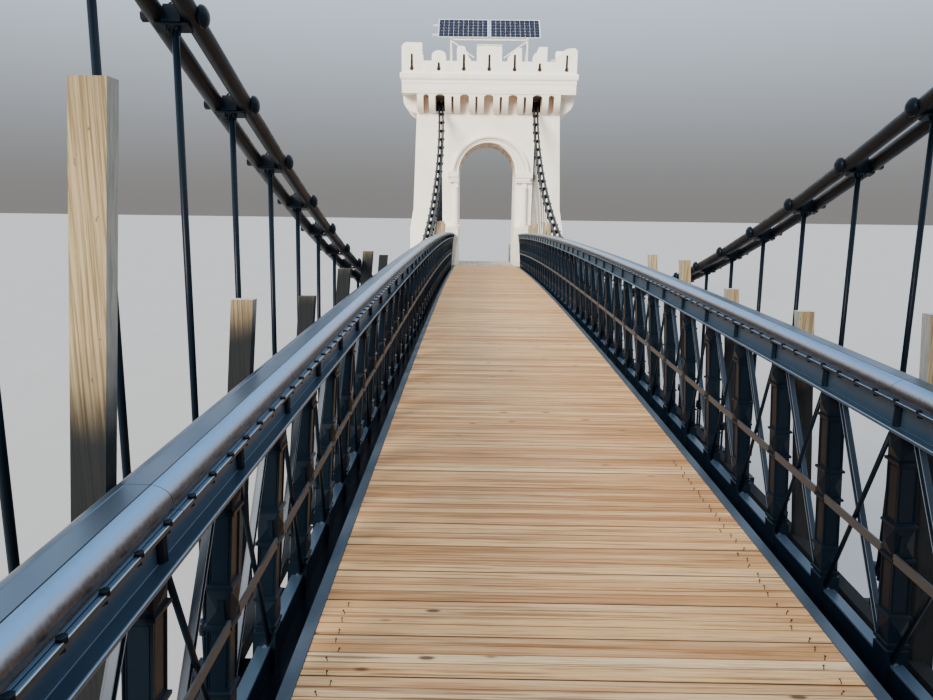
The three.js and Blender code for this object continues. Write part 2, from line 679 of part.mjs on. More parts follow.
function deckFrame() {
  const stations = [-RAIL_END_Y, ...bends, RAIL_END_Y];
  const pieces = [sweepAlongY([
    [-STRINGER_WIDTH / 2, -BEAM_TOP - NOTCH], [STRINGER_WIDTH / 2, -BEAM_TOP - NOTCH],
    [STRINGER_WIDTH / 2, -BOARD_THICK - SEAT], [-STRINGER_WIDTH / 2, -BOARD_THICK - SEAT],
  ], stations, deckZ)];
  for (const line of everyBay) {
    const low = deckZ(line) - BEAM_TOP - BEAM_DEPTH + SEAT;
    pieces.push(loft([line - BEAM_WIDTH / 2, line + BEAM_WIDTH / 2].map((y) => {
      const high = straightDeckZ(y) - BEAM_TOP - SEAT;
      return [[-BEAM_HALF, y, low], [-BEAM_HALF, y, high], [BEAM_HALF, y, high], [BEAM_HALF, y, low]];
    })));
  }
  return join(pieces);
}
place("deck_frame", deckFrame(), BLACK_IRON);

// Edge angles: a steel angle closes the boards' ends on each side and stands on the beams
const EDGE_FLANGE = 52;
const EDGE_THICK = 8;
const EDGE_TOP = 4;

for (const [name, side] of sides) {
  const inner = side * DECK_HALF_WIDTH;
  const outer = side * (DECK_HALF_WIDTH + EDGE_FLANGE);
  const web = side * (DECK_HALF_WIDTH + EDGE_THICK);
  place(`deck_edge_angle_${name}`, sweepAlongY([
    [inner, -BEAM_TOP + SEAT], [web, -BEAM_TOP + SEAT], [web, EDGE_TOP - EDGE_THICK],
    [outer, EDGE_TOP - EDGE_THICK], [outer, EDGE_TOP], [inner, EDGE_TOP],
  ], DECK_STATIONS, deckZ), ANGLE_IRON);
}

// Railing trusses: posts, chords and a diagonal in each bay, in three lengths on each side. The upper
// chord is a box with a flange under it. The posts stand in the lower chord.
const TRUSS_SPLITS = [0, 16, 34, 50];
const SPLIT_GAP = 1;
const DIAGONAL_INSET = 75;
const DIAGONAL_SIZE = 40;
const DIAGONAL_SHIFT = 15;
const DIAGONAL_LAP = 5;
const CHORD_TOP = RAIL_TOP - CAP_HEIGHT - SEAT;
const CHORD_FOOT = CHORD_TOP - CHORD_DEPTH;
const CHORD_FLANGE = 196;
const CHORD_WEB = 112;
const FLANGE_THICK = 12;
const LOWER_CHORD_INNER_X = 1185;
const LOWER_CHORD_OUTER_X = 1280;
const POST_FOOT = -20;

// The middle of a post across the deck, at a height over the deck
const postX = (height) => RAIL_X + POST_LEAN * (CHORD_FOOT - height);

function truss(side, first, last) {
  const postY = (k) => lineY(k) + shiftOf(side);
  const start = first > 0 ? postY(first) + SPLIT_GAP : -RAIL_END_Y;
  const stop = last < BAYS ? postY(last) - SPLIT_GAP : RAIL_END_Y;
  const stations = [start, ...bends.filter((y) => y > start && y < stop), stop];
  const flange = CHORD_FLANGE / 2;
  const web = CHORD_WEB / 2;
  const topChord = sweepAlongY([
    [-flange, CHORD_FOOT], [flange, CHORD_FOOT], [flange, CHORD_FOOT + FLANGE_THICK],
    [web, CHORD_FOOT + FLANGE_THICK], [web, CHORD_TOP], [-web, CHORD_TOP],
    [-web, CHORD_FOOT + FLANGE_THICK], [-flange, CHORD_FOOT + FLANGE_THICK],
  ].map(([x, z]) => [side * RAIL_X + x, z]), stations, straightDeckZ);
  const lowerFoot = -BEAM_TOP + SEAT;
  const bottomChord = sweepAlongY([
    [LOWER_CHORD_INNER_X, lowerFoot], [LOWER_CHORD_OUTER_X, lowerFoot],
    [LOWER_CHORD_OUTER_X, 0], [LOWER_CHORD_INNER_X, 0],
  ].map(([x, z]) => [side * x, z]), stations, straightDeckZ);
  const pieces = [topChord, bottomChord];
  const post = (y0, y1) => {
    const base = deckZ((y0 + y1) / 2);
    pieces.push(leaningPost(side, y0, y1, base));
  };
  for (let k = first; k <= last; k += 1) {
    const cutStart = k === first && first > 0;
    const cutEnd = k === last && last < BAYS;
    post(cutStart ? start : postY(k) - POST_SIZE / 2, cutEnd ? stop : postY(k) + POST_SIZE / 2);
  }
  if (first === 0) post(-RAIL_END_Y, -RAIL_END_Y + POST_SIZE);
  if (last === BAYS) post(RAIL_END_Y - POST_SIZE, RAIL_END_Y);
  for (let k = first; k < last; k += 1) {
    const toFar = k >= BAYS / 2 ? 0 : 1;
    const lean = toFar ? 1 : -1;
    const yLow = postY(k + 1 - toFar) + lean * DIAGONAL_INSET;
    const yHigh = postY(k + toFar) - lean * DIAGONAL_INSET;
    const [low, high] = [-DIAGONAL_LAP, CHORD_FOOT + DIAGONAL_LAP];
    pieces.push(bar([side * (postX(low) + DIAGONAL_SHIFT), yLow, deckZ(yLow) + low],
      [side * (postX(high) + DIAGONAL_SHIFT), yHigh, deckZ(yHigh) + high], DIAGONAL_SIZE, DIAGONAL_SIZE));
  }
  return join(pieces);
}

// A square post from y0 to y1, leaning inwards from its foot in the lower chord to the upper chord
function leaningPost(side, y0, y1, base) {
  const corners = [];
  for (const [height, outer] of [[POST_FOOT, 1], [CHORD_FOOT + FLANGE_THICK / 2, -1]]) {
    for (const edge of [-outer, outer]) {
      corners.push([side * (postX(height) + (edge * POST_SIZE) / 2), base + height]);
    }
  }
  return loft([y0, y1].map((y) => (side > 0 ? [...corners].reverse() : corners).map(([x, z]) => [x, y, z])));
}

for (const [name, side] of sides) {
  for (let i = 0; i + 1 < TRUSS_SPLITS.length; i += 1) {
    place(`railing_truss_${name}_${i + 1}`, truss(side, TRUSS_SPLITS[i], TRUSS_SPLITS[i + 1]), BLACK_IRON);
  }
}

// Rail caps: a rolled cap with bolted flanges runs along the top of each railing
const CAP_FLANGE_THICK = 12;
const CAP_FOOT = RAIL_TOP - CAP_HEIGHT;
// Half of the cap's section, from its flange up to the edge of the flat top
const CAP_HALF_SECTION = [
  [CAP_WIDTH / 2, CAP_FOOT], [CAP_WIDTH / 2, CAP_FOOT + CAP_FLANGE_THICK], [70, CAP_FOOT + CAP_FLANGE_THICK],
  [76, CAP_FOOT + 30], [61, CAP_FOOT + 56], [28, RAIL_TOP],
];

for (const [name, side] of sides) {
  const section = [
    ...CAP_HALF_SECTION, ...[...CAP_HALF_SECTION].reverse().map(([x, z]) => [-x, z]),
  ].map(([x, z]) => [side * RAIL_X + x, z]);
  place(`rail_cap_${name}`, sweepAlongY(section, [-RAIL_END_Y, ...bends, RAIL_END_Y], deckZ), CAP_IRON);
}

// Timber posts: planks left standing outside the railings, leaning in from a ledger on the deck's beams
// to the rail cap. Each has its bay line and its height over the deck.
const PLANK_AT_CAP_X = 1266;
const PLANK_LEAN = 0.09;
const PLANK_WIDTH = 82;
const PLANK_THICK = 50;
const LEDGER_HEIGHT = 70;
const LEDGER_WIDTH = 70;
const LEDGER_X = 1380;
const PLANK_LAP = 10;
const PLANK_SHIFT = { left: 70, right: 45 };
const PLANKS = {
  left: [[5, 1290], [7, 1986], [9, 1360], [11, 1218], [13, 1252], [15, 1290], [17, 1178],
    [37, 1380], [39, 1400], [41, 1415], [43, 1360]],
  right: [[5, 1250], [7, 1310], [9, 1345], [11, 1180], [13, 1157], [15, 1256], [17, 1220],
    [35, 1380], [37, 1400], [41, 1370], [43, 1390], [45, 1360]],
};

const plankX = (height) => PLANK_AT_CAP_X + PLANK_LEAN * (CAP_FOOT - height);

function plank(side, y, low, high) {
  const base = deckZ(y);
  const outline = [
    [plankX(low), low], [plankX(low) + PLANK_WIDTH, low], [plankX(high) + PLANK_WIDTH, high],
    [plankX(high), high],
  ].map(([x, z]) => [side * x, base + z]);
  if (side < 0) outline.reverse();
  return plateAlongY(new THREE.Shape(outline.map(([x, z]) => new THREE.Vector2(x, z))),
    y - PLANK_THICK / 2, y + PLANK_THICK / 2);
}

for (const [name, side] of sides) {
  const ledgerLow = -BEAM_TOP + SEAT;
  const half = LEDGER_WIDTH / 2;
  const pieces = [sweepAlongY([
    [-half, ledgerLow], [half, ledgerLow], [half, ledgerLow + LEDGER_HEIGHT],
    [-half, ledgerLow + LEDGER_HEIGHT],
  ].map(([x, z]) => [side * LEDGER_X + x, z]), [-HALF_TRUSS, ...bends, HALF_TRUSS], straightDeckZ)];
  for (const [line, top] of PLANKS[name]) {
    pieces.push(plank(side, lineY(line) + PLANK_SHIFT[name], ledgerLow + PLANK_LAP, top));
  }
  place(`timber_posts_${name}`, join(pieces), OLD_TIMBER);
}

// Solar panels on a steel frame above the far tower's terrace, with a white cabinet
const PANEL_WIDTH = 1715;
const PANEL_LENGTH = 1030;
const PANEL_THICK = 40;
const PANEL_TILT = THREE.MathUtils.degToRad(46);
const PANEL_GAP = 50;
const PANEL_MID_Z = 10975;
const FRAME_X = 1290;
const RAIL_STUB_X = -1930;
const RAIL_SPREAD = 270;
const FRAME_TUBE = 60;
const LEG_SPREAD = 0.4;
const SLOPE_OVERRUN = 60;
const BRACE_TUBE = 40;
const BRACE_DROP = 80;
const BRACE_HEIGHT = 540;
const BRACE_REACH = 780;
const CROSS_DROP = 40;
const PANEL_DROP = (FRAME_TUBE / 2 + PANEL_THICK / 2 + SEAT) / Math.cos(PANEL_TILT);
const TERRACE_Z = BODY_TOP_Z + SEAT + SLAB_THICK;
const FRAME_Y = TOWER_FACE + TOWER_DEPTH / 2;

function solarFrame() {
  const front = -PANEL_LENGTH * LEG_SPREAD * Math.cos(PANEL_TILT);
  const back = -front;
  const lowZ = PANEL_MID_Z + front * Math.tan(PANEL_TILT) - PANEL_DROP;
  const highZ = PANEL_MID_Z + back * Math.tan(PANEL_TILT) - PANEL_DROP;
  const pieces = [];
  for (const [, side] of sides) {
    const x = side * FRAME_X;
    const foot = TERRACE_Z + SEAT;
    pieces.push(box(FRAME_TUBE, FRAME_TUBE, lowZ - foot, x, front, (lowZ + foot) / 2));
    pieces.push(box(FRAME_TUBE, FRAME_TUBE, highZ - foot, x, back, (highZ + foot) / 2));
    const climb = SLOPE_OVERRUN * Math.tan(PANEL_TILT);
    pieces.push(bar([x, front - SLOPE_OVERRUN, lowZ - climb], [x, back + SLOPE_OVERRUN, highZ + climb],
      FRAME_TUBE, FRAME_TUBE));
    const braceTop = lowZ - BRACE_DROP;
    pieces.push(bar([x, front, braceTop], [x - side * BRACE_REACH, front, braceTop - BRACE_HEIGHT],
      BRACE_TUBE, BRACE_TUBE, new THREE.Vector3(0, 1, 0)));
  }
  pieces.push(box(2 * FRAME_X, FRAME_TUBE, FRAME_TUBE, 0, front, lowZ - CROSS_DROP));
  const railEnd = PANEL_WIDTH + PANEL_GAP / 2;
  for (const shift of [-RAIL_SPREAD, RAIL_SPREAD]) {
    const rail = new THREE.BoxGeometry(railEnd - RAIL_STUB_X, FRAME_TUBE, FRAME_TUBE);
    rail.translate((railEnd + RAIL_STUB_X) / 2, shift, 0);
    rail.rotateX(PANEL_TILT);
    rail.translate(0, 0, PANEL_MID_Z - PANEL_DROP);
    pieces.push(rail);
  }
  const frame = join(pieces);
  frame.translate(0, FRAME_Y, 0);
  return frame;
}
place("solar_frame", solarFrame(), STEEL);

for (const [name, side] of sides) {
  const panel = new THREE.BoxGeometry(PANEL_WIDTH, PANEL_LENGTH, PANEL_THICK);
  panel.translate(side * (PANEL_WIDTH + PANEL_GAP) / 2, 0, 0);
  panel.rotateX(PANEL_TILT);
  panel.translate(0, FRAME_Y, PANEL_MID_Z);
  place(`solar_panel_${name}`, panel, PANEL_BLUE);
}

const CABINET_TOP_Z = 10450;
const CABINET_WIDTH = 860;
const CABINET_DEPTH = 380;
const CABINET_X = 20;
const CABINET_BACK = 40;
place("cabinet", box(CABINET_WIDTH, CABINET_DEPTH, CABINET_TOP_Z - TERRACE_Z - SEAT, CABINET_X,
  FRAME_Y + CABINET_BACK, (CABINET_TOP_Z + TERRACE_Z + SEAT) / 2), CABINET_WHITE);

export default bridge;
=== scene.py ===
import math

import bmesh
import bpy
from mathutils import Matrix, Vector


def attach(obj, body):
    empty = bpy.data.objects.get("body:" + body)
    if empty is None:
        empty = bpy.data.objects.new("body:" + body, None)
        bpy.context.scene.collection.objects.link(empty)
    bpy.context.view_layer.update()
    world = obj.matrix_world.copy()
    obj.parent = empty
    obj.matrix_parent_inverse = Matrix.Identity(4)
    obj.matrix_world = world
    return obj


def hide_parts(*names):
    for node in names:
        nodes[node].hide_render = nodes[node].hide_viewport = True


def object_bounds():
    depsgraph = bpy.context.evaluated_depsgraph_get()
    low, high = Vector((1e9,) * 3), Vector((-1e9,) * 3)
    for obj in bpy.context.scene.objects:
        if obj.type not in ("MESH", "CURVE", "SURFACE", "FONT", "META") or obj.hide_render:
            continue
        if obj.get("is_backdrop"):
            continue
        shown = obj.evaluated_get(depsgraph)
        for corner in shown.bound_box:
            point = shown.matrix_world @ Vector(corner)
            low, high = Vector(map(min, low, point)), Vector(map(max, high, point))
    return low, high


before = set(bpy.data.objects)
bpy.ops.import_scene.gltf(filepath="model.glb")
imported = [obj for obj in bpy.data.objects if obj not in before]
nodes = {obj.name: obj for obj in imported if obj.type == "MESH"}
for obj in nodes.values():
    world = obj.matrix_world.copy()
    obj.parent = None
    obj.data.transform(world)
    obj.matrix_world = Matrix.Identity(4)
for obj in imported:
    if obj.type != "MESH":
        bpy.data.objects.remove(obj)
cad_box = [list(corner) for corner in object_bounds()]

# The studio: a pale matt floor under the foundations, a soft warm lamp low on the left behind the
# viewer, a cool soft sky, and a viewer standing near the first tower, looking along the deck.
VIEWER_AT = Vector((-0.426, -10.9646, 4.875))
VIEWER_PITCH = 0.1965
VIEWER_YAW = -0.0081
VIEWER_ROLL = 0.0132
LENS_MM = 26.99
FILM_WIDTH_MM = 36.0
FLOOR_HALF = 400.0

forward = Vector((
    math.sin(VIEWER_YAW) * math.cos(VIEWER_PITCH),
    math.cos(VIEWER_YAW) * math.cos(VIEWER_PITCH),
    -math.sin(VIEWER_PITCH),
))
rightward = Vector((math.cos(VIEWER_YAW), -math.sin(VIEWER_YAW), 0.0))
upward = rightward.cross(forward)
rolled_right = math.cos(VIEWER_ROLL) * rightward + math.sin(VIEWER_ROLL) * upward
rolled_up = math.cos(VIEWER_ROLL) * upward - math.sin(VIEWER_ROLL) * rightward
lens = bpy.data.cameras.new("viewer")
lens.sensor_fit = "HORIZONTAL"
lens.sensor_width = FILM_WIDTH_MM
lens.lens = LENS_MM
lens.clip_end = 900.0
viewer = bpy.data.objects.new("viewer", lens)
viewer.matrix_world = Matrix.Translation(VIEWER_AT) @ Matrix((
    rolled_right, rolled_up, -forward,
)).transposed().to_4x4()
bpy.context.scene.collection.objects.link(viewer)
bpy.context.scene.camera = viewer


class Tone:
    """A value or colour that changes over a surface; sums and products add the nodes for them."""

    def __init__(self, coat, socket):
        self.coat = coat
        self.socket = socket

    def worked(self, operation, first, second):
        return self.coat.node("ShaderNodeMath", {"operation": operation}, {0: first, 1: second})

    def __add__(self, other):
        return self.worked("ADD", self, other)

    def __radd__(self, other):
        return self.worked("ADD", other, self)

    def __sub__(self, other):
        return self.worked("SUBTRACT", self, other)

    def __rsub__(self, other):
        return self.worked("SUBTRACT", other, self)

    def __mul__(self, other):
        return self.worked("MULTIPLY", self, other)

    def __rmul__(self, other):
        return self.worked("MULTIPLY", other, self)

    def __truediv__(self, other):
        return self.worked("DIVIDE", self, other)

    def __gt__(self, other):
        return self.worked("GREATER_THAN", self, other)

    def __lt__(self, other):
        return self.worked("LESS_THAN", self, other)

    def __abs__(self):
        return self.worked("ABSOLUTE", self, 0.0)

    def __round__(self):
        return self.worked("ROUND", self, 0.0)

    def __floor__(self):
        return self.worked("FLOOR", self, 0.0)

    def root(self):
        return self.worked("SQRT", self, 0.0)

    def lesser(self, other):
        return self.worked("MINIMUM", self, other)


class Coat:
    """The finish of one stuff: a shader whose steady values are set, and nodes for what varies."""

    def __init__(self, name, **steady):
        self.material = bpy.data.materials.new(name)
        self.material.use_nodes = True
        self.tree = self.material.node_tree
        self.shader = self.tree.nodes["Principled BSDF"]
        for socket, value in steady.items():
            self.shader.inputs[socket.replace("_", " ")].default_value = value

    def node(self, kind, settings, inputs, output=0):
        made = self.tree.nodes.new(kind)
        for name, value in settings.items():
            if name == "stops":
                ramp = made.color_ramp
                while len(ramp.elements) < len(value):
                    ramp.elements.new(0.5)
                for element, (place, colour) in zip(ramp.elements, value):
                    element.position = place
                    element.color = (*colour, 1)
            else:
                setattr(made, name, value)
        for key, value in inputs.items():
            if isinstance(value, Tone):
                self.tree.links.new(value.socket, made.inputs[key])
            else:
                made.inputs[key].default_value = value
        return Tone(self, made.outputs[output])

    def place(self, stretch=(1.0, 1.0, 1.0)):
        here = self.node("ShaderNodeTexCoord", {}, {}, "Object")
        return self.node("ShaderNodeMapping", {}, {"Vector": here, "Scale": stretch})

    def axis(self, letter):
        return self.node("ShaderNodeSeparateXYZ", {}, {0: self.place()}, letter)

    def facing(self, letter):
        turned = self.node("ShaderNodeNewGeometry", {}, {}, "Normal")
        return self.node("ShaderNodeSeparateXYZ", {}, {0: turned}, letter)

    def clouds(self, scale, detail=4.0, roughness=0.55, vector=None):
        vector = vector or self.place()
        return self.node("ShaderNodeTexNoise", {}, {
            "Vector": vector, "Scale": scale, "Detail": detail, "Roughness": roughness,
        })

    def between(self, value, low, high):
        """The value from low to high, spread over 0 to 1 and kept within it."""
        return self.node("ShaderNodeMapRange", {"interpolation_type": "SMOOTHSTEP"}, {
            "Value": value, "From Min": low, "From Max": high,
        })

    def mix(self, share, first, second):
        first, second = ((*colour, 1) if isinstance(colour, tuple) else colour for colour in (first, second))
        return self.node("ShaderNodeMix", {"data_type": "RGBA"}, {0: share, 6: first, 7: second}, 2)

    def laid(self, colour, *layers):
        """A colour with others laid over it in turn, each given after its share."""
        for share, over in layers:
            colour = self.mix(share, colour, over)
        return colour

    def ramp(self, value, stops):
        return self.node("ShaderNodeValToRGB", {"stops": stops}, {0: value})

    def bump(self, height, strength, distance):
        return self.node("ShaderNodeBump", {}, {
            "Height": height, "Strength": strength, "Distance": distance,
        })

    def set(self, **varying):
        for socket, tone in varying.items():
            self.tree.links.new(tone.socket, self.shader.inputs[socket.replace("_", " ")])


floor_mesh = bpy.data.meshes.new("floor")
floor_mesh.from_pydata([
    (-FLOOR_HALF, -FLOOR_HALF, -0.002), (FLOOR_HALF, -FLOOR_HALF, -0.002),
    (FLOOR_HALF, FLOOR_HALF, -0.002), (-FLOOR_HALF, FLOOR_HALF, -0.002),
], [], [(0, 1, 2, 3)])
studio_floor = bpy.data.objects.new("floor", floor_mesh)
floor_coat = Coat("pale matt floor", Roughness=0.9)
floor_grain = floor_coat.clouds(0.6)
floor_coat.set(Base_Color=floor_coat.mix(floor_grain, (0.38, 0.37, 0.355), (0.42, 0.41, 0.395)))
floor_mesh.materials.append(floor_coat.material)
bpy.context.scene.collection.objects.link(studio_floor)
studio_floor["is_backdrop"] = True

sky = bpy.data.worlds.new("soft sky")
sky.use_nodes = True
sky_tree = sky.node_tree
sky_way = sky_tree.nodes.new("ShaderNodeTexCoord").outputs["Generated"]
sky_parts = sky_tree.nodes.new("ShaderNodeSeparateXYZ")
sky_tree.links.new(sky_way, sky_parts.inputs[0])
sky_rise = sky_tree.nodes.new("ShaderNodeMapRange")
sky_rise.interpolation_type = "SMOOTHSTEP"
sky_rise.inputs["From Min"].default_value = 0.0
sky_rise.inputs["From Max"].default_value = 0.5
sky_tree.links.new(sky_parts.outputs["Z"], sky_rise.inputs["Value"])
sky_colour = sky_tree.nodes.new("ShaderNodeMix")
sky_colour.data_type = "RGBA"
sky_colour.inputs[6].default_value = (0.19, 0.185, 0.18, 1)
sky_colour.inputs[7].default_value = (0.90, 1.06, 1.28, 1)
sky_tree.links.new(sky_rise.outputs[0], sky_colour.inputs[0])
sky_tree.links.new(sky_colour.outputs[2], sky_tree.nodes["Background"].inputs["Color"])
sky_tree.nodes["Background"].inputs["Strength"].default_value = 1.3
bpy.context.scene.world = sky
low_lamp = bpy.data.lights.new("low warm lamp", "SUN")
low_lamp.energy = 7.0
low_lamp.angle = math.radians(23)
low_lamp.color = (1.0, 0.89, 0.74)
low_lamp_object = bpy.data.objects.new("low warm lamp", low_lamp)
low_lamp_object.rotation_euler = Vector((0.62, 1.0, -0.52)).to_track_quat("-Z", "Y").to_euler()
bpy.context.scene.collection.objects.link(low_lamp_object)

# Abutments and anchor blocks: solid masses of coursed rubble in lime mortar, the abutments under
# the towers with a shelf for the deck's end beam, the blocks behind them holding the backstays.
SIDES = (("left", -1), ("right", 1))
ENDS = (("near", -1), ("far", 1))


def dress(coat, *names):
    """Gives pieces of the frame a finish in place of the plain one."""
    for name in names:
        mesh = nodes[name].data
        mesh.materials.clear()
        mesh.materials.append(coat.material)


rubble = Coat("rubble masonry", Roughness=0.93)
stone_spread = rubble.place((1.0, 1.0, 1.6))
stone_wander = rubble.node("ShaderNodeVectorMath", {"operation": "MULTIPLY_ADD"}, {
    0: rubble.node("ShaderNodeTexNoise", {}, {"Vector": stone_spread, "Scale": 5.0}, 1),
    1: (0.1, 0.1, 0.1), 2: stone_spread,
})
stone_gap = rubble.node("ShaderNodeTexVoronoi", {"feature": "DISTANCE_TO_EDGE"}, {
    "Vector": stone_wander, "Scale": 2.6,
})
stone_tint = rubble.node("ShaderNodeTexVoronoi", {}, {"Vector": stone_wander, "Scale": 2.6}, 1)
stone_shade = rubble.node("ShaderNodeSeparateColor", {}, {0: stone_tint})
stone_face = rubble.between(stone_gap, 0.02, 0.07)
stone_grain = rubble.clouds(14.0, 8.0)
stone_colour = rubble.mix(
    stone_grain * 0.4,
    rubble.ramp(stone_shade, [
        (0.0, (0.30, 0.26, 0.21)), (0.35, (0.46, 0.41, 0.33)), (0.7, (0.38, 0.35, 0.31)),
        (1.0, (0.56, 0.50, 0.41)),
    ]),
    (0.24, 0.22, 0.19),
)
rubble.set(
    Base_Color=rubble.mix(stone_face, (0.60, 0.57, 0.50), stone_colour),
    Normal=rubble.bump(stone_face * 0.7 + stone_grain * 0.3, 0.7, 0.03),
)
for end_name, _ in ENDS:
    dress(rubble, f"abutment_{end_name}")
    for side_name, _ in SIDES:
        dress(rubble, f"anchor_block_{end_name}_{side_name}")

# Tower bodies: brick masses under a thick cream limewash, with an arched passage and a slot near the top for
# each pair of cables. The soffit is painted warm brown as shade with bounced light, and the slots dark brown
# as the shade inside them.
PASSAGE_HALF = 0.975
SOFFIT_HEIGHTS = (5.9, 6.6)
SLOT_ACROSS = (1.4, 1.8)
SLOT_HEIGHTS = (8.1, 8.66)

limewash = Coat("cream limewash", Roughness=0.86)
wash_drift = limewash.clouds(0.9, 6.0, 0.6)
wash_mottle = limewash.clouds(7.0, 6.0, 0.65)
wash_streaks = limewash.clouds(1.0, 5.0, 0.6, limewash.place((6.0, 6.0, 0.5)))
wash_across = abs(limewash.axis("X"))
wash_height = limewash.axis("Z")
in_opening = abs(limewash.facing("Y")) < 0.3
# painted shade: the passage's soffit, where the faces turn sideways, is painted warm brown
soffit_shade = (wash_across < PASSAGE_HALF) * in_opening * limewash.between(wash_height, *SOFFIT_HEIGHTS)
# painted shade: the reveals of the cable slots are painted dark brown
slot_shade = (wash_across > SLOT_ACROSS[0]) * (wash_across < SLOT_ACROSS[1]) * in_opening
slot_shade = slot_shade * (wash_height > SLOT_HEIGHTS[0]) * (wash_height < SLOT_HEIGHTS[1])
# a mottle that breaks up the soffit's painted shade
soffit_shade_mottle = limewash.between(wash_mottle, 0.25, 0.6)
limewash.set(
    Base_Color=limewash.laid(
        (0.93, 0.90, 0.81),
        (limewash.between(wash_drift, 0.40, 0.72), (0.85, 0.80, 0.69)),
        (limewash.between(wash_streaks, 0.58, 0.8) * 0.35, (0.70, 0.60, 0.46)),
        (soffit_shade * soffit_shade_mottle, (0.36, 0.19, 0.08)),
        (slot_shade, (0.16, 0.085, 0.04)),
    ),
    Normal=limewash.bump(wash_mottle * 0.5 + wash_drift * 0.5, 0.35, 0.02),
)
for end_name, _ in ENDS:
    dress(limewash, f"tower_{end_name}_body")

# Corbels: pairs of concave brackets, run in lime mortar, that carry the terrace slab out over the walls.
# Little arches close the gaps in front, and the brackets' cheeks are painted warm brown as the shade in the
# gaps.
TOWER_FACE = 13.7
TOWER_MIDDLE = 14.6
TOWER_DEPTH = 1.8
CORBEL_FOOT = 8.09
CORBEL_TOP = 8.65
SLAB_TOP = 8.79
CORBEL_WIDTH = 0.21
CORBEL_REACH = 0.455
CORBEL_X = (0.26, 0.545, 1.05, 1.34, 1.87, 2.262)
SIDE_CORBEL_Y = (0.26, 0.795)
SIDE_WALL = 2.4053
TERRACE_HALF_X = 2.86
TERRACE_HALF_Y = 1.375
FACE_GAP = 0.0003
CORBEL_LAP = 0.0005
NOSE_HEIGHT = 0.12
FILLET_RISE = 0.11


def new_piece(name, mesh, coat, slot, *stands_for):
    """A finished piece, riding on the bridge and standing for the pieces of the frame it covers."""
    piece = bpy.data.objects.new(name, mesh)
    bpy.context.scene.collection.objects.link(piece)
    if coat is not None:
        mesh.materials.clear()
        mesh.materials.append(coat.material)
    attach(piece, "root")
    if stands_for:
        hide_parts(*stands_for)


def slab(shape, corner, opposite):
    """A box between two opposite corners."""
    low, high = ([pick(pair) for pair in zip(corner, opposite)] for pick in (min, max))
    for vert in bmesh.ops.create_cube(shape, size=1.0)["verts"]:
        vert.co = Vector([low[i] + (vert.co[i] + 0.5) * (high[i] - low[i]) for i in range(3)])


def skin(shape, rings):
    """The faces from each closed ring of points to the next one."""
    made = []
    for low, high in zip(rings, rings[1:]):
        count = len(low)
        for i in range(count):
            made.append(shape.faces.new((low[i], low[(i + 1) % count], high[(i + 1) % count], high[i])))
    return made


def plate(shape, outline, low, high, axes):
    """An outline made thick from low to high; axes gives the ways of its two directions and its thickness."""
    def at(a, b, c):
        place = [0.0, 0.0, 0.0]
        for value, axis in zip((a, b, c), axes):
            place[axis] = value
        return place

    rings = [[shape.verts.new(at(a, b, c)) for a, b in outline] for c in (low, high)]
    made = [shape.faces.new(rings[0]), shape.faces.new(rings[1])] + skin(shape, rings)
    bmesh.ops.recalc_face_normals(shape, faces=made)


def mesh_of(shape, name):
    mesh = bpy.data.meshes.new(name)
    shape.to_mesh(mesh)
    shape.free()
    return mesh


def in_scene(name, data):
    thing = bpy.data.objects.new(name, data)
    bpy.context.scene.collection.objects.link(thing)
    return thing


def worked_out(holder):
    """The mesh that an object's curve or modifiers come to; the object itself is removed."""
    bpy.context.view_layer.update()
    made = bpy.data.meshes.new_from_object(
        holder.evaluated_get(bpy.context.evaluated_depsgraph_get()))
    bpy.data.objects.remove(holder)
    return made


def soften(mesh, width, segments=2, angle=0.6):
    """The mesh with its sharp edges rounded."""
    holder = in_scene("soften", mesh)
    rounding = holder.modifiers.new("edges", "BEVEL")
    rounding.width = width
    rounding.segments = segments
    rounding.limit_method = "ANGLE"
    rounding.angle_limit = angle
    rounding.harden_normals = False
    return worked_out(holder)


corbel_wash = Coat("corbel limewash", Roughness=0.86)
cheek_mottle = corbel_wash.clouds(6.0, 6.0, 0.6)
cheek_white = corbel_wash.mix(cheek_mottle, (0.93, 0.89, 0.79), (0.84, 0.77, 0.64))
cheek_shade_brown = corbel_wash.mix(cheek_mottle, (0.46, 0.23, 0.085), (0.60, 0.34, 0.14))
# painted shade: faces turned across on the front corbels are painted warm brown for the shadow cast into the
# gaps
cheek_shade_share = (abs(corbel_wash.facing("X")) > 0.7) * (abs(corbel_wash.axis("X")) < 2.37)
corbel_wash.set(
    Base_Color=corbel_wash.mix(cheek_shade_share, cheek_white, cheek_shade_brown),
    Normal=corbel_wash.bump(cheek_mottle, 0.3, 0.015),
)


def corbel_outline(reach):
    """Reach from the wall against height: a cove that runs from the wall out to the slab's edge."""
    steps = 9
    places = [(FACE_GAP, CORBEL_TOP + CORBEL_LAP), (reach, CORBEL_TOP + CORBEL_LAP)]
    for i in range(steps + 1):
        turn = i / steps * math.pi / 2
        places.append((FACE_GAP + (reach - FACE_GAP) * math.cos(turn),
                       CORBEL_TOP - NOSE_HEIGHT - (CORBEL_TOP - CORBEL_FOOT - NOSE_HEIGHT) * math.sin(turn)))
    return places


def corbel_arches(shape, middles, wall, axis, sign):
    """The thin arched fillets between neighbouring corbels, in the plane of their noses."""
    other = 1 - axis
    noses = sorted(middles)
    for first, second in zip(noses, noses[1:]):
        start, stop = first + CORBEL_WIDTH / 2 - 0.01, second - CORBEL_WIDTH / 2 + 0.01
        half = (stop - start) / 2
        rise = min(half, FILLET_RISE)
        steps = 8
        outline = [(start, CORBEL_TOP + CORBEL_LAP), (stop, CORBEL_TOP + CORBEL_LAP)]
        for i in range(steps + 1):
            turn = i / steps * math.pi
            outline.append((start + half + half * math.cos(turn),
                            CORBEL_TOP - 0.125 + rise * math.sin(turn)))
        plate(shape, outline, sign * (wall + CORBEL_REACH - 0.12), sign * (wall + CORBEL_REACH - 0.004),
              (axis, 2, other))


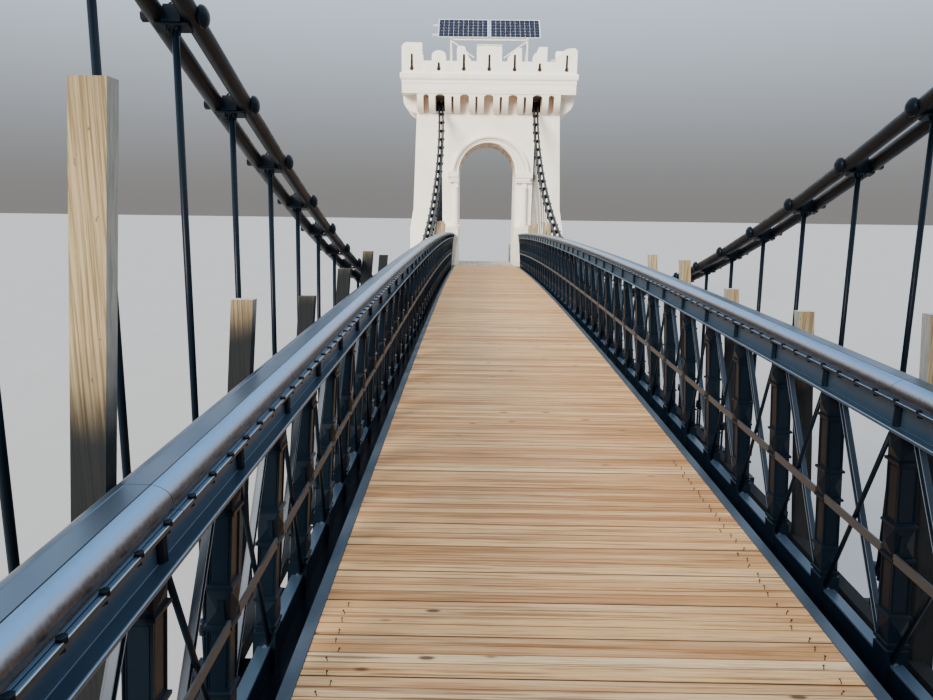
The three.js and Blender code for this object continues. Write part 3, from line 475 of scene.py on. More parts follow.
for end_name, end in ENDS:
    shelf = bmesh.new()
    slab(shelf, (-TERRACE_HALF_X, -TERRACE_HALF_Y, CORBEL_TOP + FACE_GAP),
         (TERRACE_HALF_X, TERRACE_HALF_Y, SLAB_TOP + FACE_GAP))
    front_middles = [s * x for x in CORBEL_X for s in (-1, 1)]
    side_middles = [s * y for y in SIDE_CORBEL_Y for s in (-1, 1)]
    for sign in (-1, 1):
        for x in front_middles:
            outline = [(sign * (TOWER_DEPTH / 2 + reach), z) for reach, z in corbel_outline(CORBEL_REACH)]
            plate(shelf, outline, x - CORBEL_WIDTH / 2, x + CORBEL_WIDTH / 2, (1, 2, 0))
        corbel_arches(shelf, front_middles, TOWER_DEPTH / 2, 0, sign)
        for y in side_middles:
            outline = [(sign * (SIDE_WALL + reach), z) for reach, z in corbel_outline(CORBEL_REACH)]
            plate(shelf, outline, y - CORBEL_WIDTH / 2, y + CORBEL_WIDTH / 2, (0, 2, 1))
        corbel_arches(shelf, side_middles, SIDE_WALL, 1, sign)
    bmesh.ops.translate(shelf, verts=shelf.verts, vec=(0, end * TOWER_MIDDLE, 0))
    new_piece(f"corbel_table_{end_name}", soften(mesh_of(shelf, "corbels"), 0.008), corbel_wash,
              "limewash", f"tower_{end_name}_corbels")

# Parapets: limewashed brick walls round each terrace, with a run moulding outside and a merlon at each corner
# and between. Every merlon has a keyhole loop, made blind by a plug inside the wall; the plug and the loop's
# reveals are painted dark brown as shade. Weather has broken the far ones.
PARAPET_FOOT = SLAB_TOP + 2 * FACE_GAP
CRENEL = 9.66
WALL_THICK = 0.34
MERLON_MIDDLES = (-2.53, -1.65, -0.83, 0.0, 0.83, 1.65, 2.53)
MERLON_HALF = 0.23
CORNER_HALF = 0.33
SOUND_TOPS = (10.15, 10.11, 10.11, 10.13, 10.11, 10.11, 10.15)
WORN_TOPS = (10.22, 9.985, 10.12, 10.13, 10.075, 10.115, 10.09)
SIDE_MERLONS = ((-1.045, CORNER_HALF), (0.0, MERLON_HALF), (1.045, CORNER_HALF))
SIDE_TOP = 10.11
CORNER_BLOCK_TOP = 10.06
LOOP_FOOT = 9.42
LOOP_TOP = 9.88
WORN_LOOP_TOP = 9.62
# the plug in the middle of the wall behind each loop, painted dark as shade
LOOP_SHADE_PLUG_FOOT = 9.335
LOOP_SHADE_PLUG_HALF = 0.085
MERLON_STEP = 0.83
MOULDING_STEPS = (
    (-0.01, 8.955), (0.012, 8.962), (0.014, 9.06), (0.03, 9.08), (0.045, 9.10), (0.056, 9.14),
    (0.06, 9.18), (0.06, 9.25), (0.05, 9.275), (0.02, 9.29), (-0.01, 9.30),
)


def merlon_top(index, middle, half, top, is_worn):
    """The outline of one merlon from its left foot to its right foot."""
    left, right = middle - half, middle + half
    if not is_worn:
        return [(left, CRENEL), (left, top - 0.02), (left + 0.02, top), (right - 0.02, top),
                (right, top - 0.02), (right, CRENEL)]
    if index == 0:
        return [(left, CRENEL), (left, top - 0.16), (left + 0.03, top - 0.08), (left + 0.08, top - 0.03),
                (left + 0.15, top), (right, top - 0.01), (right + 0.005, top - 0.36),
                (right + 0.04, top - 0.40), (right + 0.04, CRENEL)]
    if index == 1:
        arc = [(middle - half * math.cos(i / 10 * math.pi), top - 0.17 + 0.17 * math.sin(i / 10 * math.pi))
               for i in range(11)]
        return [(left, CRENEL), *arc, (right, CRENEL)]
    if index == 2:
        return [(left, CRENEL), (left, top - 0.06), (left + 0.05, top), (left + 0.21, top),
                (left + 0.27, top - 0.05), (left + 0.31, top - 0.20), (left + 0.36, top - 0.26),
                (left + 0.40, top - 0.36), (right, top - 0.41), (right, CRENEL)]
    if index == 4:
        return [(left, CRENEL), (left, top - 0.27), (left + 0.06, top - 0.24), (left + 0.13, top - 0.14),
                (left + 0.22, top - 0.08), (left + 0.26, top), (right - 0.01, top), (right, CRENEL)]
    if index == 5:
        return [(left, CRENEL), (left, top - 0.30), (left + 0.03, top - 0.22), (left + 0.11, top - 0.18),
                (left + 0.15, top - 0.07), (left + 0.20, top), (right, top), (right, CRENEL)]
    if index == 6:
        return [(left, CRENEL), (left + 0.01, top - 0.24), (left + 0.13, top - 0.21),
                (left + 0.22, top - 0.08), (left + 0.34, top - 0.02), (right - 0.10, top),
                (right - 0.04, top - 0.03), (right, top - 0.11), (right, CRENEL)]
    return [(left, CRENEL), (left, top), (right, top - 0.01), (right, CRENEL)]


def keyhole(middle, foot, top, slot_half, eye):
    """A loop: a slot that widens to a round eye at its foot, wound against the wall's outline."""
    places = [(middle - slot_half, top), (middle - slot_half * 1.2, foot + eye * 1.5)]
    steps = 12
    for i in range(steps + 1):
        turn = math.radians(130) + math.radians(280) * i / steps
        places.append((middle + eye * math.cos(turn), foot + eye * math.sin(turn)))
    places += [(middle + slot_half * 1.2, foot + eye * 1.5), (middle + slot_half, top)]
    return places


def pierced_wall(outlines, thickness):
    """A wall from a closed outline and the outlines of the holes in it."""
    drawn = bpy.data.curves.new("wall", "CURVE")
    drawn.dimensions = "2D"
    drawn.fill_mode = "BOTH"
    drawn.extrude = thickness / 2
    for outline in outlines:
        spline = drawn.splines.new("POLY")
        spline.points.add(len(outline) - 1)
        for point, (a, b) in zip(spline.points, outline):
            point.co = (a, b, 0.0, 1.0)
        spline.use_cyclic_u = True
    shape = bmesh.new()
    shape.from_mesh(worked_out(in_scene("wall", drawn)))
    bmesh.ops.remove_doubles(shape, verts=shape.verts, dist=0.0002)
    bmesh.ops.recalc_face_normals(shape, faces=shape.faces)
    return shape


def into(shape, added, turn):
    """Puts one shape into another through a turn."""
    bmesh.ops.transform(added, matrix=turn, verts=added.verts)
    spare = bpy.data.meshes.new("spare")
    added.to_mesh(spare)
    added.free()
    shape.from_mesh(spare)
    bpy.data.meshes.remove(spare)


def moulding(shape, half_x, half_y, steps):
    """A run moulding round a rectangle: its sections, given as how proud and how high, are joined."""
    rings = []
    for proud, z in steps:
        rings.append([shape.verts.new((sx * (half_x + proud), sy * (half_y + proud), z))
                      for sx, sy in ((-1, -1), (1, -1), (1, 1), (-1, 1))])
    bmesh.ops.recalc_face_normals(shape, faces=skin(shape, rings + rings[:1]))


parapet_wash = Coat("parapet limewash", Roughness=0.86)
parapet_mottle = parapet_wash.clouds(5.0, 8.0, 0.65)
parapet_drift = parapet_wash.clouds(1.1, 4.0)
parapet_x = parapet_wash.axis("X")
parapet_z = parapet_wash.axis("Z")
off_middle = abs(parapet_x - round(parapet_x / MERLON_STEP) * MERLON_STEP)
loop_height = (parapet_z > 9.33) * (parapet_z < 9.9)
wall_depth = abs(abs(parapet_wash.axis("Y")) - TOWER_MIDDLE)
in_the_wall = (wall_depth > TERRACE_HALF_Y - WALL_THICK + 0.06) * (wall_depth < TERRACE_HALF_Y - 0.06)
# painted shade: the reveals of every loop and the plug behind it are painted dark brown
loop_shade = in_the_wall * (off_middle < 0.11) * loop_height * (abs(parapet_wash.facing("Z")) < 0.99)
parapet_wash.set(
    Base_Color=parapet_wash.laid(
        (0.93, 0.90, 0.82),
        (parapet_wash.between(parapet_drift, 0.45, 0.75), (0.86, 0.81, 0.69)),
        (parapet_wash.between(parapet_mottle, 0.66, 0.72) * 0.6, (0.52, 0.42, 0.27)),
        (loop_shade, (0.12, 0.085, 0.058)),
    ),
    Normal=parapet_wash.bump(parapet_mottle, 0.4, 0.02),
)

for end_name, end in ENDS:
    walls = bmesh.new()
    for face in (-1, 1):
        is_span_side = face == -end
        is_worn = end > 0
        tops = WORN_TOPS if is_worn else SOUND_TOPS
        if face > 0:
            tops = tuple(reversed(tops))
        outline = [(-TERRACE_HALF_X, PARAPET_FOOT)]
        holes = []
        for i, (middle, top) in enumerate(zip(MERLON_MIDDLES, tops)):
            half = CORNER_HALF if i in (0, 6) else MERLON_HALF
            worn_here = is_worn and is_span_side
            outline += merlon_top(i, middle, half, top, worn_here)
            hole_top = WORN_LOOP_TOP if worn_here and i in (1, 5) else LOOP_TOP
            holes.append(keyhole(middle, LOOP_FOOT, hole_top, 0.035, 0.070))
            deep = face * (TERRACE_HALF_Y - WALL_THICK / 2)
            # the dark plug behind the loop, where it would open through the wall
            slab(walls, (middle - LOOP_SHADE_PLUG_HALF, deep - 0.02, LOOP_SHADE_PLUG_FOOT),
                 (middle + LOOP_SHADE_PLUG_HALF, deep + 0.02, hole_top + 0.012))
        outline.append((TERRACE_HALF_X, PARAPET_FOOT))
        wall = pierced_wall([outline, *holes], WALL_THICK)
        turn = Matrix.Translation((0, face * (TERRACE_HALF_Y - WALL_THICK / 2), 0)) @ Matrix.Rotation(
            math.pi / 2, 4, "X")
        into(walls, wall, turn)
        for side in (-1, 1):
            if face < 0:
                side_outline = [(-TERRACE_HALF_Y + WALL_THICK, PARAPET_FOOT)]
                for middle, half in SIDE_MERLONS:
                    left = max(middle - half, -TERRACE_HALF_Y + WALL_THICK)
                    right = min(middle + half, TERRACE_HALF_Y - WALL_THICK)
                    side_outline += [(left, CRENEL), (left, SIDE_TOP), (right, SIDE_TOP), (right, CRENEL)]
                side_outline.append((TERRACE_HALF_Y - WALL_THICK, PARAPET_FOOT))
                side_loop = keyhole(0.0, LOOP_FOOT, LOOP_TOP, 0.03, 0.062)
                side_wall = pierced_wall([side_outline, side_loop], WALL_THICK)
                turn = Matrix.Translation((side * (TERRACE_HALF_X - WALL_THICK / 2), 0, 0)) @ Matrix.Rotation(
                    math.pi / 2, 4, "Z") @ Matrix.Rotation(math.pi / 2, 4, "X")
                into(walls, side_wall, turn)
            inner_x = side * (TERRACE_HALF_X - WALL_THICK)
            inner_y = face * (TERRACE_HALF_Y - WALL_THICK)
            block = 2 * CORNER_HALF - WALL_THICK
            slab(walls, (inner_x, inner_y, CRENEL - 0.01),
                 (inner_x - side * block, inner_y - face * block, CORNER_BLOCK_TOP))
    moulding(walls, TERRACE_HALF_X, TERRACE_HALF_Y, MOULDING_STEPS)
    bmesh.ops.translate(walls, verts=walls.verts, vec=(0, end * TOWER_MIDDLE, 0))
    new_piece(f"parapet_{end_name}", mesh_of(walls, "parapet"), parapet_wash, "limewash",
              f"tower_{end_name}_parapet")

# Arch surrounds: on both faces of each tower a stepped ring of run mouldings stands on engaged
# columns with leafless block capitals, round bases and tall plain plinths, all in limewash.
ARCH_HALF = 0.967
ARCH_SPRING = 6.17
RING_MIDDLE_Z = 6.06
RING_STEPS = (
    (0.99, 0.0), (0.99, 0.085), (1.00, 0.095), (1.03, 0.10), (1.045, 0.085), (1.06, 0.075), (1.155, 0.075),
    (1.17, 0.085), (1.19, 0.10), (1.21, 0.10), (1.225, 0.115), (1.235, 0.14), (1.26, 0.157),
    (1.29, 0.16), (1.32, 0.152), (1.337, 0.13), (1.34, 0.10), (1.33, 0.0),
)
COLUMN_MIDDLE_X = 1.17
OFF_CENTRE = 0.11
COLUMN_TURNS = (
    (0.0, 0.128), (0.03, 0.132), (0.055, 0.125), (0.06, 0.112), (0.085, 0.108), (0.095, 0.118), (0.12, 0.118),
    (0.135, 0.10), (0.16, 0.094), (1.26, 0.090), (1.29, 0.094), (1.30, 0.104), (1.32, 0.104), (1.33, 0.092),
)
PLINTH_FOOT = 3.001
PLINTH_TOP = 4.34
PLINTH_OUTER_X = 1.435
PLINTH_PROUD = 0.175
PLINTH_LIP_PROUD = 0.196
SPRING_BLOCK_FOOT = 5.83
SPRING_BLOCK_OUTER_X = 1.455
# Each step of the springing block: where it starts and stops over its foot, how proud, how far set in
SPRING_BLOCK_STEPS = (
    (0.0, 0.045, 0.13, 0.06), (0.045, 0.14, 0.15, 0.10), (0.14, 0.23, 0.165, 0.05), (0.17, 0.34, 0.19, 0.0),
)
GROOVE_RADII = ((1.052, 1.072), (1.150, 1.182), (1.206, 1.234))


def turned_shaft(shape, x, y, foot, turns, sides=20):
    """A round shaft from its turned profile of heights and radii."""
    rings = []
    for rise, radius in turns:
        rings.append([shape.verts.new((x + radius * math.cos(2 * math.pi * i / sides),
                                       y + radius * math.sin(2 * math.pi * i / sides), foot + rise))
                      for i in range(sides)])
    for face in skin(shape, rings):
        face.smooth = True
    shape.faces.new(list(reversed(rings[0])))
    shape.faces.new(rings[-1])


def surround(shift):
    """One arch surround; its outer rings stand to one side of its inner ones by the shift."""
    shape = bmesh.new()
    count = 48
    rings = []
    for i in range(count + 1):
        turn = math.pi * i / count
        ring = []
        for radius, proud in RING_STEPS:
            inner = max(0.0, (1.1 - radius) / 0.11)
            centre_x = shift * (1 - min(1.0, inner))
            centre_z = RING_MIDDLE_Z + (ARCH_SPRING - RING_MIDDLE_Z) * min(1.0, inner)
            ring.append(shape.verts.new((centre_x + radius * math.cos(turn), -proud,
                                         centre_z + radius * math.sin(turn))))
        rings.append(ring)
    made = skin(shape, rings) + [shape.faces.new(rings[0]), shape.faces.new(rings[-1])]
    bmesh.ops.recalc_face_normals(shape, faces=made)
    for side in (-1, 1):
        x = side * COLUMN_MIDDLE_X + shift
        turned_shaft(shape, x, -0.09, PLINTH_TOP, COLUMN_TURNS)
        slab(shape, (x - 0.075, -0.08, PLINTH_TOP), (x + 0.075, 0.0, SPRING_BLOCK_FOOT + 0.02))
        inner, outer = side * (ARCH_HALF + 0.004), side * PLINTH_OUTER_X
        slab(shape, (inner, -PLINTH_PROUD, PLINTH_FOOT), (outer, 0.0, PLINTH_TOP - 0.06))
        slab(shape, (inner, -PLINTH_LIP_PROUD, PLINTH_FOOT), (outer, 0.0, 3.22))
        slab(shape, (inner, -PLINTH_LIP_PROUD, PLINTH_TOP - 0.09), (outer, 0.0, PLINTH_TOP))
        slab(shape, (x - 0.15, -0.184, PLINTH_TOP), (x + 0.15, 0.0, PLINTH_TOP + 0.05))
        outer_block = side * SPRING_BLOCK_OUTER_X + shift
        for rise, top, proud, inset in SPRING_BLOCK_STEPS:
            slab(shape, (inner, -proud, SPRING_BLOCK_FOOT + rise),
                 (outer_block - side * inset, 0.0, SPRING_BLOCK_FOOT + top))
    return shape


surround_wash = Coat("surround limewash", Roughness=0.86)
ring_mottle = surround_wash.clouds(6.0, 6.0, 0.6)
low_green = 1 - surround_wash.between(surround_wash.axis("Z"), 3.3, 4.6)
ring_x = surround_wash.axis("X") - OFF_CENTRE
ring_z = surround_wash.axis("Z") - RING_MIDDLE_Z
ring_radius = (ring_x * ring_x + ring_z * ring_z).root()
# painted shade: the grooves of the ring's mouldings on the far tower's span face are painted darker
groove_shade = sum((ring_radius > low) * (ring_radius < high) for low, high in GROOVE_RADII)
on_far_span_face = (surround_wash.axis("Y") > 0.0) * (surround_wash.axis("Y") < TOWER_MIDDLE)
groove_shade = groove_shade * on_far_span_face * (ring_z > 0.1)
surround_wash.set(
    Base_Color=surround_wash.laid(
        (0.93, 0.90, 0.82),
        (ring_mottle, (0.84, 0.80, 0.70)),
        (low_green * 0.5, (0.60, 0.62, 0.53)),
        (groove_shade * 0.75, (0.50, 0.43, 0.31)),
    ),
    Normal=surround_wash.bump(ring_mottle, 0.3, 0.012),
)
for end_name, end in ENDS:
    for face_name in ("span_side", "outer_side"):
        on_span = face_name == "span_side"
        shape = surround(OFF_CENTRE if on_span and end > 0 else 0.0)
        faces_back = (end < 0) == on_span
        turn = Matrix.Rotation(math.pi, 4, "Z") if faces_back else Matrix.Identity(4)
        y = end * (TOWER_FACE - FACE_GAP) if on_span else end * (TOWER_FACE + TOWER_DEPTH + FACE_GAP)
        bmesh.ops.transform(shape, matrix=Matrix.Translation((0, y, 0)) @ turn, verts=shape.verts)
        new_piece(f"arch_surround_{end_name}_{face_name}",
                  soften(mesh_of(shape, "surround"), 0.006, 2, 0.9), surround_wash, "limewash",
                  f"tower_{end_name}_arch_{face_name}")

# Main cables: on each side twin wire ropes in a smooth black sheath, hung from tower to tower, with
# a forged clamp over both at every bay and a round rod with a turnbuckle down to the cross beam.
BAY = 0.528
BAYS = 50
FIRST_LINE = -13.2
HALF_SPAN = 13.5
DECK_END_Z = 3.0
CAMBER = 0.295
CABLE_RADIUS = 0.033
CABLE_SPACING = 0.118
CABLE_MID_X = 1.455
CABLE_BOW = 0.06
CABLE_TOWER_X = 1.6
CABLE_LOW_Z = 3.775
CABLE_FACE_Z = 8.32
SADDLE_START_Y = 13.8
SADDLE_BEND = 0.9
ANCHOR_Y = 19.15
ANCHOR_Z = 3.26
ROD_FOOT_DROP = 0.1297
ROD_FOOT_X = 1.475
ROD_RADIUS = 0.0125
COUPLING_HEIGHT = 0.20
LEG_SPREAD = 0.028
LEG_RADIUS = 0.0085
SLEEVE_RADIUS = 0.019
NUT_RADIUS = 0.019
DOME_STEPS = (
    (0.0, 0.024), (0.003, 0.039), (0.009, 0.039), (0.017, 0.035), (0.024, 0.025), (0.028, 0.011),
)
SOCKET_STEPS = ((0.34, 0.040), (0.26, 0.046), (0.10, 0.052))
ANCHOR_PLATE_HALF = 0.16
ANCHOR_BOLT_OFF = 0.125
STAY_CLAMP_SHARES = (0.12, 0.5, 0.85)
LINE_SHIFT = {"left": 0.0, "right": -0.045}


def deck_height(y):
    return DECK_END_Z + CAMBER * (1 - (y / HALF_SPAN) ** 2)


def cable_height(y):
    return CABLE_LOW_Z + (CABLE_FACE_Z - CABLE_LOW_Z) * (y / TOWER_FACE) ** 2


def cable_across(y):
    share = min(1.0, abs(y) / TOWER_FACE)
    return CABLE_MID_X - CABLE_BOW * share ** 2 + (CABLE_TOWER_X - CABLE_MID_X + CABLE_BOW) * share ** 6


ENTRY_TURN = math.atan(2 * (CABLE_FACE_Z - CABLE_LOW_Z) * SADDLE_START_Y / TOWER_FACE ** 2)
BEND_TOP_Y = SADDLE_START_Y + SADDLE_BEND * math.sin(ENTRY_TURN)
BEND_TOP_Z = cable_height(SADDLE_START_Y) + SADDLE_BEND * (1 - math.cos(ENTRY_TURN))
BACK_TURN = math.atan2(BEND_TOP_Z - ANCHOR_Z, ANCHOR_Y - BEND_TOP_Y)
LINES = [FIRST_LINE + BAY * k for k in range(BAYS + 1)]
SIDE_LINES = {name: [y + LINE_SHIFT[name] for y in LINES] for name, _ in SIDES}


def on_saddle(turn):
    """A place on the cable's bend over the saddle, as how far along and how high."""
    return BEND_TOP_Y + SADDLE_BEND * math.sin(turn), BEND_TOP_Z - SADDLE_BEND * (1 - math.cos(turn))


def round_run(shape, points, radius, sides=14):
    """A round rope or rod through points, with flat ends."""
    places = [Vector(p) for p in points]
    rings = []
    for i, place in enumerate(places):
        along = (places[min(i + 1, len(places) - 1)] - places[max(i - 1, 0)]).normalized()
        across = along.cross(Vector((1, 0, 0)) if abs(along.x) < 0.9 else Vector((0, 0, 1))).normalized()
        up = along.cross(across).normalized()
        rings.append([shape.verts.new(place + radius * (
            math.cos(2 * math.pi * j / sides) * across + math.sin(2 * math.pi * j / sides) * up))
            for j in range(sides)])
    made = skin(shape, rings)
    for face in made:
        face.smooth = True
    made += [shape.faces.new(list(reversed(rings[0]))), shape.faces.new(rings[-1])]
    bmesh.ops.recalc_face_normals(shape, faces=made)


black_sheath = Coat("black cable sheath", Specular_IOR_Level=0.25)
sheath_soil = black_sheath.clouds(9.0, 5.0)
black_sheath.set(
    Base_Color=black_sheath.mix(sheath_soil, (0.0035, 0.0045, 0.0065), (0.011, 0.012, 0.014)),
    Roughness=black_sheath.between(sheath_soil, 0.1, 0.9) * 0.25 + 0.30,
    Normal=black_sheath.bump(sheath_soil, 0.12, 0.004),
)
black_paint = Coat("black ironwork paint", Specular_IOR_Level=0.11)
paint_drift = black_paint.clouds(3.0, 5.0)
paint_grain = black_paint.clouds(60.0, 3.0)
black_paint.set(
    Base_Color=black_paint.mix(paint_drift, (0.0014, 0.0045, 0.0095), (0.0038, 0.0088, 0.0165)),
    Roughness=paint_drift * 0.2 + 0.22,
    Normal=black_paint.bump(paint_grain * 0.4 + paint_drift * 0.6, 0.15, 0.004),
)


def setting_out():
    """The tree that sets one piece out at every step along the cambered deck.

    Each copy stands at a height over the deck. It may lean with the deck's slope, stray to one side,
    tip at random, and turn at random about its own upright.
    """
    tree = bpy.data.node_groups.new("set out along the deck", "GeometryNodeTree")
    inputs = (("Piece", "NodeSocketObject"), ("Count", "NodeSocketInt"), ("First", "NodeSocketFloat"),
              ("Step", "NodeSocketFloat"), ("Across", "NodeSocketFloat"), ("Height", "NodeSocketFloat"),
              ("Lean", "NodeSocketFloat"), ("Side Stray", "NodeSocketFloat"), ("Spin", "NodeSocketFloat"),
              ("Tip", "NodeSocketFloat"), ("Seed", "NodeSocketInt"), ("Camber", "NodeSocketFloat"),
              ("Half Span", "NodeSocketFloat"), ("Finish", "NodeSocketMaterial"))
    for name, kind in inputs:
        tree.interface.new_socket(name, in_out="INPUT", socket_type=kind)
    tree.interface.new_socket("Geometry", in_out="OUTPUT", socket_type="NodeSocketGeometry")
    given = tree.nodes.new("NodeGroupInput").outputs

    def node(kind, settings, links, output=0):
        made = tree.nodes.new(kind)
        for name, value in settings.items():
            setattr(made, name, value)
        for key, value in links.items():
            if isinstance(value, bpy.types.NodeSocket):
                tree.links.new(value, made.inputs[key])
            else:
                made.inputs[key].default_value = value
        return made.outputs[output]

    def sum_of(operation, first, second):
        return node("ShaderNodeMath", {"operation": operation}, {0: first, 1: second})

    def random_between(low, high, offset):
        seed = sum_of("ADD", given["Seed"], offset)
        return node("FunctionNodeRandomValue", {"data_type": "FLOAT"}, {2: low, 3: high, "Seed": seed}, 1)

    index = node("GeometryNodeInputIndex", {}, {})
    y = sum_of("ADD", given["First"], sum_of("MULTIPLY", index, given["Step"]))
    side_stray = sum_of("MULTIPLY", given["Side Stray"], random_between(-1.0, 1.0, 5))
    share = sum_of("DIVIDE", y, given["Half Span"])
    fall = sum_of("MULTIPLY", given["Camber"], sum_of("MULTIPLY", share, share))
    z = sum_of("SUBTRACT", given["Height"], fall)
    x = sum_of("ADD", given["Across"], side_stray)
    points = node("GeometryNodeMeshLine", {}, {"Count": given["Count"]})
    points = node("GeometryNodeSetPosition", {}, {
        0: points, "Position": node("ShaderNodeCombineXYZ", {}, {0: x, 1: y, 2: z})})
    slope = sum_of("DIVIDE", sum_of("MULTIPLY", sum_of("MULTIPLY", share, given["Camber"]), -2.0),
                   given["Half Span"])
    lean = sum_of("ADD", sum_of("MULTIPLY", slope, given["Lean"]),
                  sum_of("MULTIPLY", given["Tip"], random_between(-1.0, 1.0, 7)))
    tip = sum_of("MULTIPLY", given["Tip"], random_between(-1.0, 1.0, 11))
    spin = sum_of("MULTIPLY", given["Spin"], random_between(0.0, 2 * math.pi, 13))
    turned = node("ShaderNodeCombineXYZ", {}, {0: lean, 1: tip, 2: spin})
    sample = node("GeometryNodeObjectInfo", {"transform_space": "ORIGINAL"}, {0: given["Piece"]}, "Geometry")
    copies = node("GeometryNodeInstanceOnPoints", {}, {0: points, "Instance": sample, "Rotation": turned})
    whole = node("GeometryNodeRealizeInstances", {}, {0: copies})
    painted = node("GeometryNodeSetMaterial", {}, {0: whole, "Material": given["Finish"]})
    done = tree.nodes.new("NodeGroupOutput")
    tree.links.new(painted, done.inputs[0])
    return tree


setting_out_tree = setting_out()
setting_out_inputs = {
    item.name: item.identifier for item in setting_out_tree.interface.items_tree if item.in_out == "INPUT"
}


def set_out(sample, coat, count, first, step, across, over_deck, **more):
    """The mesh of one piece set out along the deck; sample is its mesh, standing on the origin."""
    pattern = in_scene("pattern", sample)
    holder = in_scene("holder", bpy.data.meshes.new("holder"))
    row = holder.modifiers.new("row", "NODES")
    row.node_group = setting_out_tree
    values = {
        "Piece": pattern, "Count": count, "First": first, "Step": step, "Across": across,
        "Height": DECK_END_Z + CAMBER + over_deck, "Lean": 1.0, "Side Stray": 0.0, "Spin": 0.0,
        "Tip": 0.0, "Seed": 4, "Camber": CAMBER, "Half Span": HALF_SPAN, "Finish": coat.material,
    }
    values.update({name.replace("_", " "): value for name, value in more.items()})
    for name, value in values.items():
        row[setting_out_inputs[name]] = value
    made = worked_out(holder)
    bpy.data.objects.remove(pattern)
    return made


def joined(name, meshes):
    """Several meshes as one."""
    shape = bmesh.new()
    for mesh in meshes:
        shape.from_mesh(mesh)
    return mesh_of(shape, name)


def hexagon(radius, x=0.0, y=0.0):
    return [(x + radius * math.cos(math.pi * i / 3), y + radius * math.sin(math.pi * i / 3))
            for i in range(6)]


def clamp(inner):
    """A forged clamp between the twin cables; inner is the way towards the deck."""
    shape = bmesh.new()
    slab(shape, (-0.032, -0.028, -0.038), (0.032, 0.028, 0.028))
    slab(shape, (-0.060, -0.022, -0.047), (0.060, 0.022, -0.038))
    for y in (-0.012, 0.012):
        loop = [(0.018 * math.cos(i / 8 * math.pi), y, 0.030 + 0.018 * math.sin(i / 8 * math.pi))
                for i in range(9)]
        round_run(shape, [(0.018, y, -0.062), *loop, (-0.018, y, -0.062)], 0.0042, 6)
    cheek = CABLE_SPACING / 2 + CABLE_RADIUS
    round_run(shape, [(-cheek - 0.004, 0, 0), (cheek + 0.004, 0, 0)], 0.011, 8)
    rings = []
    start = inner * (cheek - 0.004)
    for reach, radius in DOME_STEPS:
        rings.append([shape.verts.new((start + inner * reach, radius * math.cos(2 * math.pi * i / 18),
                                       radius * math.sin(2 * math.pi * i / 18))) for i in range(18)])
    for face in skin(shape, rings):
        face.smooth = True
    shape.faces.new(rings[0])
    shape.faces.new(rings[-1])
    outer = -inner * (cheek - 0.002)
    plate(shape, hexagon(NUT_RADIUS), min(outer, outer - inner * 0.020), max(outer, outer - inner * 0.020),
          (1, 2, 0))
    bmesh.ops.recalc_face_normals(shape, faces=shape.faces)
    return shape


for side_name, side in SIDES:
    ropes = bmesh.new()
    for shift in (-CABLE_SPACING / 2, CABLE_SPACING / 2):
        rise = [on_saddle(-ENTRY_TURN * (1 - i / 8)) for i in range(9)]
        points = [(side * CABLE_TOWER_X + shift, -y, z) for y, z in reversed(rise)]
        points += [(side * cable_across(y) + shift, y, cable_height(y)) for y in LINES]
        points += [(side * CABLE_TOWER_X + shift, y, z) for y, z in rise]
        round_run(ropes, points, CABLE_RADIUS, 16)
    new_piece(f"main_cables_{side_name}", mesh_of(ropes, "ropes"), black_sheath, "cable_black",
              f"cable_{side_name}")
    clamps = bmesh.new()
    rods = bmesh.new()
    for y in SIDE_LINES[side_name]:
        across, height = side * cable_across(y), cable_height(y)
        slope = math.atan(2 * (CABLE_FACE_Z - CABLE_LOW_Z) * y / TOWER_FACE ** 2)
        into(clamps, clamp(-side), Matrix.Translation((across, y, height)) @ Matrix.Rotation(slope, 4, "X"))
        foot = Vector((side * ROD_FOOT_X, y, deck_height(y) - ROD_FOOT_DROP))
        head = Vector((across, y, height - 0.03))
        along = (head - foot).normalized()
        coupling = foot + along * COUPLING_HEIGHT
        round_run(rods, [coupling, head], ROD_RADIUS, 10)
        slab(rods, (coupling.x - 0.012, y - 0.040, coupling.z - 0.008),
             (coupling.x + 0.012, y + 0.040, coupling.z + 0.008))
        for shift in (-LEG_SPREAD, LEG_SPREAD):
            leg = Vector((coupling.x, y + shift, coupling.z + 0.01))
            round_run(rods, [(foot.x, y + shift, foot.z), leg], LEG_RADIUS, 8)
            round_run(rods, [leg - Vector((0, 0, 0.042)), leg - Vector((0, 0, 0.026)), leg,
                             leg + Vector((0, 0, 0.016))], SLEEVE_RADIUS, 8)
    new_piece(f"cable_clamps_{side_name}", mesh_of(clamps, "clamps"), black_paint, "black_iron",
              f"cable_{side_name}")
    new_piece(f"hanger_rods_{side_name}", mesh_of(rods, "rods"), black_paint, "black_iron",
              f"cable_{side_name}")

